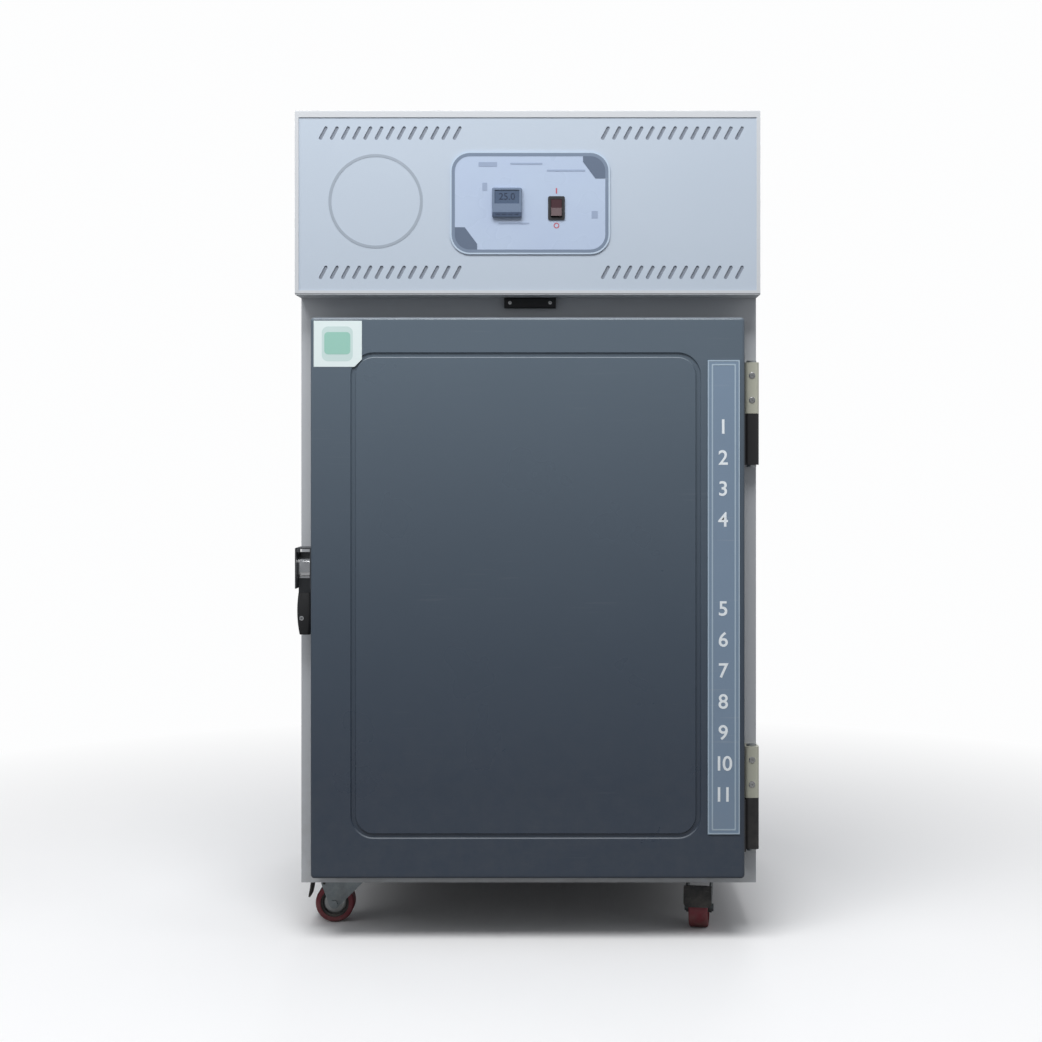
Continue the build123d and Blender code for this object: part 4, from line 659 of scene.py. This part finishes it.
# the mesh that a temporary object ends up with
def takeMesh(holder, name):
    graph = bpy.context.evaluated_depsgraph_get()
    mesh = bpy.data.meshes.new_from_object(holder.evaluated_get(graph))
    holder.modifiers.clear()
    bpy.data.objects.remove(holder)
    mesh.name = name
    return mesh


# flat curve or text, stood up to face -Y with its back on the plane y
def standUp(name, curve, y, thick, material, body):
    curve.extrude = thick / 2
    mesh = takeMesh(addObject(name + "Flat", curve), name)
    mesh.transform(Matrix.Translation((0, y - thick / 2, 0)) @ Matrix.Rotation(math.radians(90), 4, "X"))
    tidyMesh(mesh)
    return keep(name, mesh, material, body)


# a plate within the first loop; the loops inside it are its holes
def facePiece(name, loops, y, thick, material, body):
    curve = bpy.data.curves.new(name, "CURVE")
    curve.dimensions = "2D"
    curve.fill_mode = "BOTH"
    for loop in loops:
        spline = curve.splines.new("POLY")
        spline.points.add(len(loop) - 1)
        for point, (x, z) in zip(spline.points, loop):
            point.co = (x, z, 0, 1)
        spline.use_cyclic_u = True
    standUp(name, curve, y, thick, material, body)


# text with its middle at place; bolder thickens the strokes, spacing sets its letters closer
def textPiece(name, words, size, thick, place, material, body, bolder=0.0, spacing=1.0):
    text = bpy.data.curves.new(name, "FONT")
    text.body = words
    text.size = size
    text.align_x = "CENTER"
    text.align_y = "CENTER"
    text.offset = bolder
    text.space_character = spacing
    made = standUp(name, text, 0.0, thick, material, body)
    made.data.transform(Matrix.Translation(place))


# a turned piece: profile of (radius, along) round an axis
def turned(name, profile, place, axis, steps, material, body):
    closeRadius, closeGap, sharpAngle = 1e-7, 0.000005, 35
    axis = Vector(axis).normalized()
    side = axis.orthogonal().normalized()
    other = axis.cross(side)
    work = bmesh.new()
    rings = []
    for radius, along in profile:
        middle = Vector(place) + axis * along
        if radius < closeRadius:
            rings.append([work.verts.new(middle)])
            continue
        angles = [2 * math.pi * i / steps for i in range(steps)]
        rings.append([work.verts.new(middle + side * radius * math.cos(a) + other * radius * math.sin(a))
                      for a in angles])
    for first, second in zip(rings, rings[1:]):
        for i in range(steps):
            j = (i + 1) % steps
            if len(first) == 1:
                work.faces.new((first[0], second[i], second[j]))
            elif len(second) == 1:
                work.faces.new((first[i], second[0], first[j]))
            else:
                work.faces.new((first[i], second[i], second[j], first[j]))
    mesh = bpy.data.meshes.new(name)
    work.to_mesh(mesh)
    work.free()
    tidyMesh(mesh, closeGap)
    keep(name, mesh, material, body, smooth=True)
    mesh.set_sharp_from_angle(angle=math.radians(sharpAngle))


# Geometry Nodes: screws and bolts set on points, each turned at random
# shares of the head's radius or height, and the largest random turn
screwForm = {"crownRadius": 0.72, "crownHeight": 0.45, "slotLength": 1.15, "slotTop": 0.95, "turn": 6.283}


def makeScrewTree(form):
    tree, ins, outs = newGroup(
        "setScrews",
        [("Geometry", "NodeSocketGeometry", None), ("Head Radius", numberKind, 0.004),
         ("Head Height", numberKind, 0.001), ("Sides", "NodeSocketInt", 24),
         ("Slot Width", numberKind, 0.0009), ("Slot Depth", numberKind, 0.0006),
         ("Seed", "NodeSocketInt", 4), ("Finish", "NodeSocketMaterial", None)],
        [("Geometry", "NodeSocketGeometry")], "GeometryNodeTree")
    radius, height, sides = (ins[label] for label in ("Head Radius", "Head Height", "Sides"))

    def lifted(mesh, rise):
        shift = node(tree, "ShaderNodeCombineXYZ", Z=rise).outputs[0]
        return node(tree, "GeometryNodeTransform", Geometry=mesh, Translation=shift).outputs["Geometry"]

    middle = times(tree, height, 0.5)
    head = node(tree, "GeometryNodeMeshCylinder", Vertices=sides, Radius=radius, Depth=height)
    crown = node(tree, "GeometryNodeMeshCone", Vertices=sides, Radius_Bottom=radius,
                 Radius_Top=times(tree, radius, form["crownRadius"]),
                 Depth=times(tree, height, form["crownHeight"]))
    body = node(tree, "GeometryNodeMeshBoolean", {"operation": "UNION"}, Mesh_2=head.outputs["Mesh"])
    feed(tree, body, Mesh_2=lifted(crown.outputs["Mesh"], middle))
    cut = node(tree, "GeometryNodeMeshBoolean", {"operation": "DIFFERENCE"}, Mesh_1=body.outputs["Mesh"])
    for across in (0, 1):
        size = node(tree, "ShaderNodeCombineXYZ", Z=times(tree, ins["Slot Depth"], 2.0))
        plug(tree, size.inputs[across], times(tree, radius, form["slotLength"]))
        plug(tree, size.inputs[1 - across], ins["Slot Width"])
        cutter = node(tree, "GeometryNodeMeshCube", Size=size.outputs[0])
        feed(tree, cut, Mesh_2=lifted(cutter.outputs["Mesh"], times(tree, height, form["slotTop"])))
    seated = lifted(cut.outputs["Mesh"], middle)
    facing = node(tree, "GeometryNodeInputNamedAttribute", {"data_type": "FLOAT_VECTOR"}, Name="facing")
    aim = node(tree, "FunctionNodeAlignRotationToVector", {"axis": "Z"}, Vector=facing.outputs["Attribute"])
    spin = node(tree, "FunctionNodeRandomValue", {"data_type": "FLOAT"}, i2=0.0, i3=form["turn"],
                Seed=ins["Seed"])
    about = node(tree, "FunctionNodeAxisAngleToRotation", Angle=spin.outputs[1])
    turnBy = node(tree, "FunctionNodeRotateRotation", {"rotation_space": "LOCAL"},
                  Rotation=aim.outputs["Rotation"], Rotate_By=about.outputs["Rotation"])
    placed = node(tree, "GeometryNodeInstanceOnPoints", Points=ins["Geometry"], Instance=seated,
                  Rotation=turnBy.outputs["Rotation"])
    real = node(tree, "GeometryNodeRealizeInstances", Geometry=placed.outputs["Instances"])
    paint = node(tree, "GeometryNodeSetMaterial", Geometry=real.outputs["Geometry"],
                 Material=ins["Finish"])
    feed(tree, outs, Geometry=paint.outputs["Geometry"])
    return tree


screwTree = makeScrewTree(screwForm)


# points are pairs of a place and the way its screw faces
def grow(name, points, values, material, body):
    mesh = bpy.data.meshes.new(name + "Points")
    mesh.from_pydata([place for place, way in points], [], [])
    facing = mesh.attributes.new("facing", "FLOAT_VECTOR", "POINT")
    for i, (place, way) in enumerate(points):
        facing.data[i].vector = way
    holder = addObject(name + "Points", mesh)
    modifier = holder.modifiers.new("grow", "NODES")
    modifier.node_group = screwTree
    sockets = {s.name: s.identifier for s in screwTree.interface.items_tree if s.in_out == "INPUT"}
    for label, value in {**values, "Finish": material}.items():
        modifier[sockets[label]] = value
    result = takeMesh(holder, name)
    if "facing" in result.attributes:
        result.attributes.remove(result.attributes["facing"])
    tidyMesh(result)
    keep(name, result, material, body)


# head: ring on the fascia, print on the control plate, filter mesh and readout

fasciaLow = Vector(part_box("head_fascia")[0])
plateLow, plateHigh = (Vector(p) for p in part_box("control_plate"))
bezelLow, bezelHigh = (Vector(p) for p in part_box("switch_bezel"))

ring = {"middleX": -0.245, "middleZ": 1.199, "radius": 0.076, "line": 0.0045, "thick": 0.0004}
ringLoops = [circleLoop(ring["middleX"], ring["middleZ"], radius)
             for radius in (ring["radius"], ring["radius"] - ring["line"])]
facePiece("badgeRing", ringLoops, fasciaLow.y, ring["thick"], ringInk, "cabinet")

platePrint = {"margin": 0.0004, "halo": 0.0026, "edge": 0.0052, "corner": 0.032, "thick": 0.00025,
              "patch": 0.036, "patchShoulder": 0.009, "patchFoot": 0.016, "patchSteps": 12,
              "barCorner": 0.001}
plateMid = (plateLow + plateHigh) / 2
plateSize = plateHigh - plateLow
plateInset = platePrint["halo"] + platePrint["edge"]


def plateLoop(inset):
    return roundedLoop(plateMid.x, plateMid.z, plateSize.x - 2 * inset, plateSize.z - 2 * inset,
                       platePrint["corner"] - inset)


def onPlate(name, loops, material):
    facePiece(name, loops, plateLow.y, platePrint["thick"], material, "cabinet")


onPlate("plateHalo", [plateLoop(platePrint["margin"]), plateLoop(platePrint["halo"])], plateHaloInk)
onPlate("plateEdge", [plateLoop(platePrint["halo"]), plateLoop(plateInset)], plateEdgeInk)


# dark patch in a corner of the plate, cut off slantwise on its inner side
def cornerPatch(name, signX, signZ):
    radius = platePrint["corner"] - plateInset
    centreX = plateMid.x + signX * (plateSize.x / 2 - plateInset - radius)
    centreZ = plateMid.z + signZ * (plateSize.z / 2 - plateInset - radius)
    steps = platePrint["patchSteps"]
    angles = [math.radians(90 * i / steps) for i in range(steps + 1)]
    arc = [(centreX + signX * radius * math.cos(angle), centreZ + signZ * radius * math.sin(angle))
           for angle in angles]
    outerX = plateMid.x + signX * (plateSize.x / 2 - plateInset)
    outerZ = plateMid.z + signZ * (plateSize.z / 2 - plateInset)
    innerX = outerX - signX * platePrint["patch"]
    innerZ = outerZ - signZ * platePrint["patch"]
    inner = [(innerX, outerZ), (innerX, outerZ - signZ * platePrint["patchShoulder"]),
             (outerX - signX * platePrint["patchFoot"], innerZ), (outerX, innerZ)]
    onPlate(name, [arc + inner], plateCornerInk)


cornerPatch("platePatchTop", 1, 1)
cornerPatch("platePatchBottom", -1, -1)

# plain bars where the plate has its print: place from the plate's middle, width and height
bars = {
    "plateBarLong": (-0.006, 0.063, 0.052, 0.0032), "plateBarShort": (-0.068, 0.062, 0.030, 0.0075),
    "plateBarRight": (0.058, 0.052, 0.062, 0.0032), "plateBarUnder": (-0.026, -0.033, 0.050, 0.0026),
    "plateBarMark": (0.104, -0.019, 0.010, 0.012), "plateBarLeft": (-0.073, 0.026, 0.008, 0.013),
}
for name, (dx, dz, width, height) in bars.items():
    loop = roundedLoop(plateMid.x + dx, plateMid.z + dz, width, height, platePrint["barCorner"], smallSteps)
    onPlate(name, [loop], plateBarInk)

# red stroke over the switch and ring under it; the stroke's width, height and corner
marks = {"away": 0.009, "stroke": (0.0022, 0.009, 0.0006), "ring": (0.0046, 0.0030), "ringSteps": 24}
switchX = ((bezelLow + bezelHigh) / 2).x
strokeLoop = roundedLoop(switchX, bezelHigh.z + marks["away"], *marks["stroke"], smallSteps)
onPlate("switchMarkOn", [strokeLoop], redInk)
onPlate("switchMarkOff", [circleLoop(switchX, bezelLow.z - marks["away"], radius, marks["ringSteps"])
                          for radius in marks["ring"]], redInk)

# filter mesh behind each row of slots
filters = {"left": -0.2215, "right": 0.2335, "middleZ": 1.1965, "apart": 0.2245, "width": 0.250,
           "height": 0.034, "corner": 0.002, "behind": 0.00265, "thick": 0.001}
for hand in ("left", "right"):
    for level, sign in (("Top", 1), ("Bottom", -1)):
        middleZ = filters["middleZ"] + sign * filters["apart"] / 2
        loop = roundedLoop(filters[hand], middleZ, filters["width"], filters["height"], filters["corner"],
                           smallSteps)
        facePiece(f"filter{level}{hand.title()}", [loop], fasciaLow.y + filters["behind"],
                  filters["thick"], filterMesh, "cabinet")

# readout in the controller's window: plain numbers
readout = {"text": "25.0", "size": 0.0155, "thick": 0.0002, "rim": 0.0008, "recess": 0.0012}
readoutPlace = ((controllerLow.x + controllerHigh.x) / 2,
                controllerLow.y + readout["rim"] + readout["recess"],
                controllerHigh.z - controllerLook["windowDrop"])
textPiece("readoutDigits", readout["text"], readout["size"], readout["thick"], readoutPlace, readoutInk,
          "cabinet")
print("head print made")


# door: corner label, strip lines and numbers

skinLow = Vector(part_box("door_skin")[0])
stripLow, stripHigh = (Vector(p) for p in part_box("name_strip"))

# square and patch are width, height and corner
label = {"left": -0.3445, "right": -0.267, "low": 0.932, "high": 1.0062, "cut": 0.012, "thick": 0.0003,
         "middleX": -0.3065, "middleZ": 0.969, "square": (0.050, 0.056, 0.010), "layer": 0.0001,
         "patch": (0.042, 0.036, 0.006), "patchRise": 0.001}
labelLoop = [(label["left"], label["low"]), (label["right"] - label["cut"], label["low"]),
             (label["right"], label["low"] + label["cut"]), (label["right"], label["high"]),
             (label["left"], label["high"])]
squareY = skinLow.y - label["thick"]
facePiece("cornerLabel", [labelLoop], skinLow.y, label["thick"], labelFilm, "door")
facePiece("labelSquare", [roundedLoop(label["middleX"], label["middleZ"], *label["square"])], squareY,
          label["layer"], labelPale, "door")
facePiece("labelPatch", [roundedLoop(label["middleX"], label["middleZ"] + label["patchRise"],
                                     *label["patch"])],
          squareY - label["layer"], label["layer"], labelGreen, "door")

stripMid = (stripLow + stripHigh) / 2
stripSize = stripHigh - stripLow
stripPrint = {"line": (0.0065, 0.0087), "rim": (0.0003, 0.0022), "corner": 0.0012, "thick": 0.0003}


def stripFrame(name, insets):
    loops = [roundedLoop(stripMid.x, stripMid.z, stripSize.x - 2 * inset, stripSize.z - 2 * inset,
                         stripPrint["corner"], smallSteps) for inset in insets]
    facePiece(name, loops, stripLow.y, stripPrint["thick"], stripLineInk, "door")


stripFrame("stripLine", stripPrint["line"])
stripFrame("stripRim", stripPrint["rim"])

# each group is its first row and how many numbers it has
numbers = {"size": 0.033, "thick": 0.0003, "top": 0.8344, "pitch": 0.0499, "groups": ((0, 4), (5.87, 7)),
           "left": 0.001, "bolder": 0.0004, "closer": 0.82}
rows = [start + i for start, length in numbers["groups"] for i in range(length)]
for count, row in enumerate(rows, 1):
    numberPlace = (stripMid.x - numbers["left"], stripLow.y, numbers["top"] - row * numbers["pitch"])
    textPiece(f"stripNumber{count:02d}", str(count), numbers["size"], numbers["thick"], numberPlace,
              numberInk, "door", numbers["bolder"], numbers["closer"] if count > 9 else 1.0)
print("door print made")


# screws and bolts; a form's names are the inputs of the screw tree

front, back, down = (0, -1, 0), (0, 1, 0), (0, 0, -1)
smallSlot = {"Slot Width": 0.0011, "Slot Depth": 0.0007}

hingeLow, hingeHigh = (Vector(p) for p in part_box("hinge_frame_halves"))
hingeScrews = {"x": 0.365, "half": 0.0833, "rises": (0.022, 0.062),
               "form": {**smallSlot, "Head Radius": 0.0052, "Head Height": 0.0009}}
hingePoints = [((hingeScrews["x"], hingeLow.y, base + rise), front)
               for base in (hingeLow.z, hingeHigh.z - hingeScrews["half"]) for rise in hingeScrews["rises"]]
grow("hingeFrameScrews", hingePoints, hingeScrews["form"], screwSteel, "cabinet")

casing = {"sideX": 0.375, "sideY": (-0.30, -0.05, 0.20, 0.35), "backX": 0.364, "backInset": 0.0140,
          "backZ": (0.10, 0.40, 0.72, 1.03, 1.075, 1.20, 1.325), "lidZ": 1.334, "deckZ": 1.060,
          "deckX": (-0.13, 0.03), "edgeX": (-0.12, 0.12), "trayZ": 0.095,
          "form": {"Head Radius": 0.0045, "Head Height": 0.00065, "Slot Width": 0.0011,
                   "Slot Depth": 0.0006, "Seed": 9}}
backY = cadHigh[1] - casing["backInset"]
panelPoints = []
for hand in (-1, 1):
    for y in casing["sideY"]:
        panelPoints += [((hand * casing["sideX"], y, casing[level]), (hand, 0, 0))
                        for level in ("lidZ", "deckZ")]
    panelPoints += [((hand * casing["backX"], backY, z), back) for z in casing["backZ"]]
panelPoints += [((x, backY, casing["deckZ"]), back) for x in casing["deckX"]]
for x in casing["edgeX"]:
    panelPoints += [((x, backY, z), back) for z in (casing["lidZ"], casing["trayZ"])]
grow("casingScrews", panelPoints, casing["form"], screwSteel, "cabinet")

# hexagon heads: the tree's cross slot is made too fine to see
castorBolts = {"x": (-0.290, 0.290), "y": (-0.23535, 0.29465), "z": 0.0825, "dx": (-0.0235, 0.0235),
               "dy": (-0.0300, 0.0300),
               "form": {"Head Radius": 0.0055, "Head Height": 0.0026, "Sides": 6, "Slot Width": 0.00001,
                        "Slot Depth": 0.00001, "Seed": 21}}
boltPoints = [((x + dx, y + dy, castorBolts["z"]), down) for x in castorBolts["x"] for y in castorBolts["y"]
              for dx in castorBolts["dx"] for dy in castorBolts["dy"]]
grow("castorBolts", boltPoints, castorBolts["form"], screwSteel, "cabinet")

sensorLow, sensorHigh = (Vector(p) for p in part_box("door_sensor"))
sensorScrews = {"dx": (-0.033, 0.033), "form": {**smallSlot, "Head Radius": 0.0030, "Head Height": 0.0006}}
sensorMid = (sensorLow + sensorHigh) / 2
sensorPoints = [((sensorMid.x + dx, sensorLow.y, sensorMid.z), front) for dx in sensorScrews["dx"]]
grow("sensorScrews", sensorPoints, sensorScrews["form"], screwSteel, "cabinet")

gripLow = Vector(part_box("latch_grip")[0])
gripRivet = {"in": 0.008, "sunk": 0.0003, "z": 0.525,
             "form": {**smallSlot, "Head Radius": 0.0036, "Head Height": 0.0009, "Seed": 31}}
rivetPlace = (gripLow.x + gripRivet["in"], gripLow.y + gripRivet["sunk"], gripRivet["z"])
grow("gripRivet", [(rivetPlace, front)], gripRivet["form"], latchChrome, "latch")
print("screws set")


# wheel caps, placed by the joints so that they turn with the wheels

cap = {"radius": 0.0195, "inner": 0.0088, "from": 0.0101, "to": 0.0121, "lip": 0.004, "round": 0.002,
       "drop": 0.0006, "steps": 32}
capProfile = [(cap["inner"], cap["from"]), (cap["inner"], cap["to"]), (cap["radius"] - cap["lip"], cap["to"]),
              (cap["radius"] - cap["round"], cap["to"] - cap["drop"]), (cap["radius"], cap["from"]),
              (cap["inner"], cap["from"])]
rolls = [joint for joint in record["behaviour"]["joints"] if joint["name"].startswith("roll_")]
for joint in rolls:
    for hand, side in ((1, "Left"), (-1, "Right")):
        turned(f"wheelCap_{joint['name'].removeprefix('roll_')}{side}", capProfile, joint["pos_m"],
               Vector(joint["axis"]) * hand, cap["steps"], zincSteel, joint["child"])
print("wheel caps made")


# wire guard over the condenser fan, on the front of its shroud

shroudLow, shroudHigh = (Vector(p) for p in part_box("condenser_shroud"))
guard = {"wire": 0.0012, "wireSides": 8, "rings": (0.044, 0.058, 0.072, 0.086, 0.100), "ringSteps": 56,
         "spokes": 6, "spokeFrom": 0.040, "spokeTo": 0.104, "spokeSunk": 0.0003}
guardMid = Vector(((shroudLow.x + shroudHigh.x) / 2, shroudLow.y - guard["wire"],
                   (shroudLow.z + shroudHigh.z) / 2))
for count, radius in enumerate(guard["rings"], 1):
    wire = circleLoop(radius, 0, guard["wire"], guard["wireSides"])
    turned(f"guardRing{count}", wire + wire[:1], guardMid, front, guard["ringSteps"], zincSteel, "cabinet")
spokeForward = Vector((0, 2 * guard["wire"] - guard["spokeSunk"], 0))
reach = guard["spokeTo"] - guard["spokeFrom"]
spokeProfile = [(0, 0), (guard["wire"], 0), (guard["wire"], reach), (0, reach)]
for i in range(guard["spokes"]):
    turn = math.pi * (2 * i + 1) / guard["spokes"]
    outward = Vector((math.cos(turn), 0, math.sin(turn)))
    start = guardMid + outward * guard["spokeFrom"] - spokeForward
    turned(f"guardSpoke{i + 1}", spokeProfile, start, outward, guard["wireSides"], zincSteel, "cabinet")
print("fan guard made")


# stage

floor = {"size": 14.0, "tone": (0.97, 0.97, 0.975, 1), "lightTone": (0.3, 0.3, 0.3, 1), "peel": 60.0,
         "clouding": 0.03, "rough": 0.75, "fadeFrom": 0.6, "fadeTo": 2.0}
work = bmesh.new()
bmesh.ops.create_grid(work, x_segments=1, y_segments=1, size=floor["size"] / 2)
floorMesh = bpy.data.meshes.new("studioFloor")
work.to_mesh(floorMesh)
work.free()
floorObject = addObject("studioFloor", floorMesh)
floorMaterial, floorTree, floorShader, floorWhere = blankMaterial("studioFloorPaint")
floorSkin = effect(floorTree, "paintSkin", Vector=floorWhere, Color=floor["tone"], Peel_Scale=floor["peel"],
                   Clouding=floor["clouding"], Roughness=floor["rough"])
# the floor sends little light back up, so that the door darkens towards it
cameraRay = floorTree.nodes.new("ShaderNodeLightPath").outputs["Is Camera Ray"]
floorTone = mixOf(floorTree, cameraRay, floor["lightTone"], floorSkin["Color"])
feed(floorTree, floorShader, Base_Color=floorTone, Roughness=floorSkin["Roughness"])
# further off it fades into the white backdrop, so that no horizon shows
floorAway = node(floorTree, "ShaderNodeVectorMath", {"operation": "LENGTH"}, i0=floorWhere).outputs[1]
floorFade = remap(floorTree, floorAway, floor["fadeFrom"], floor["fadeTo"])
floorGlow = node(floorTree, "ShaderNodeEmission", Color=studio["backdrop"], Strength=1.0)
floorMix = node(floorTree, "ShaderNodeMixShader", i0=times(floorTree, floorFade, cameraRay),
                i1=floorShader.outputs[0], i2=floorGlow.outputs[0])
feed(floorTree, floorTree.nodes["Material Output"], Surface=floorMix.outputs[0])
floorMesh.materials.append(floorMaterial)
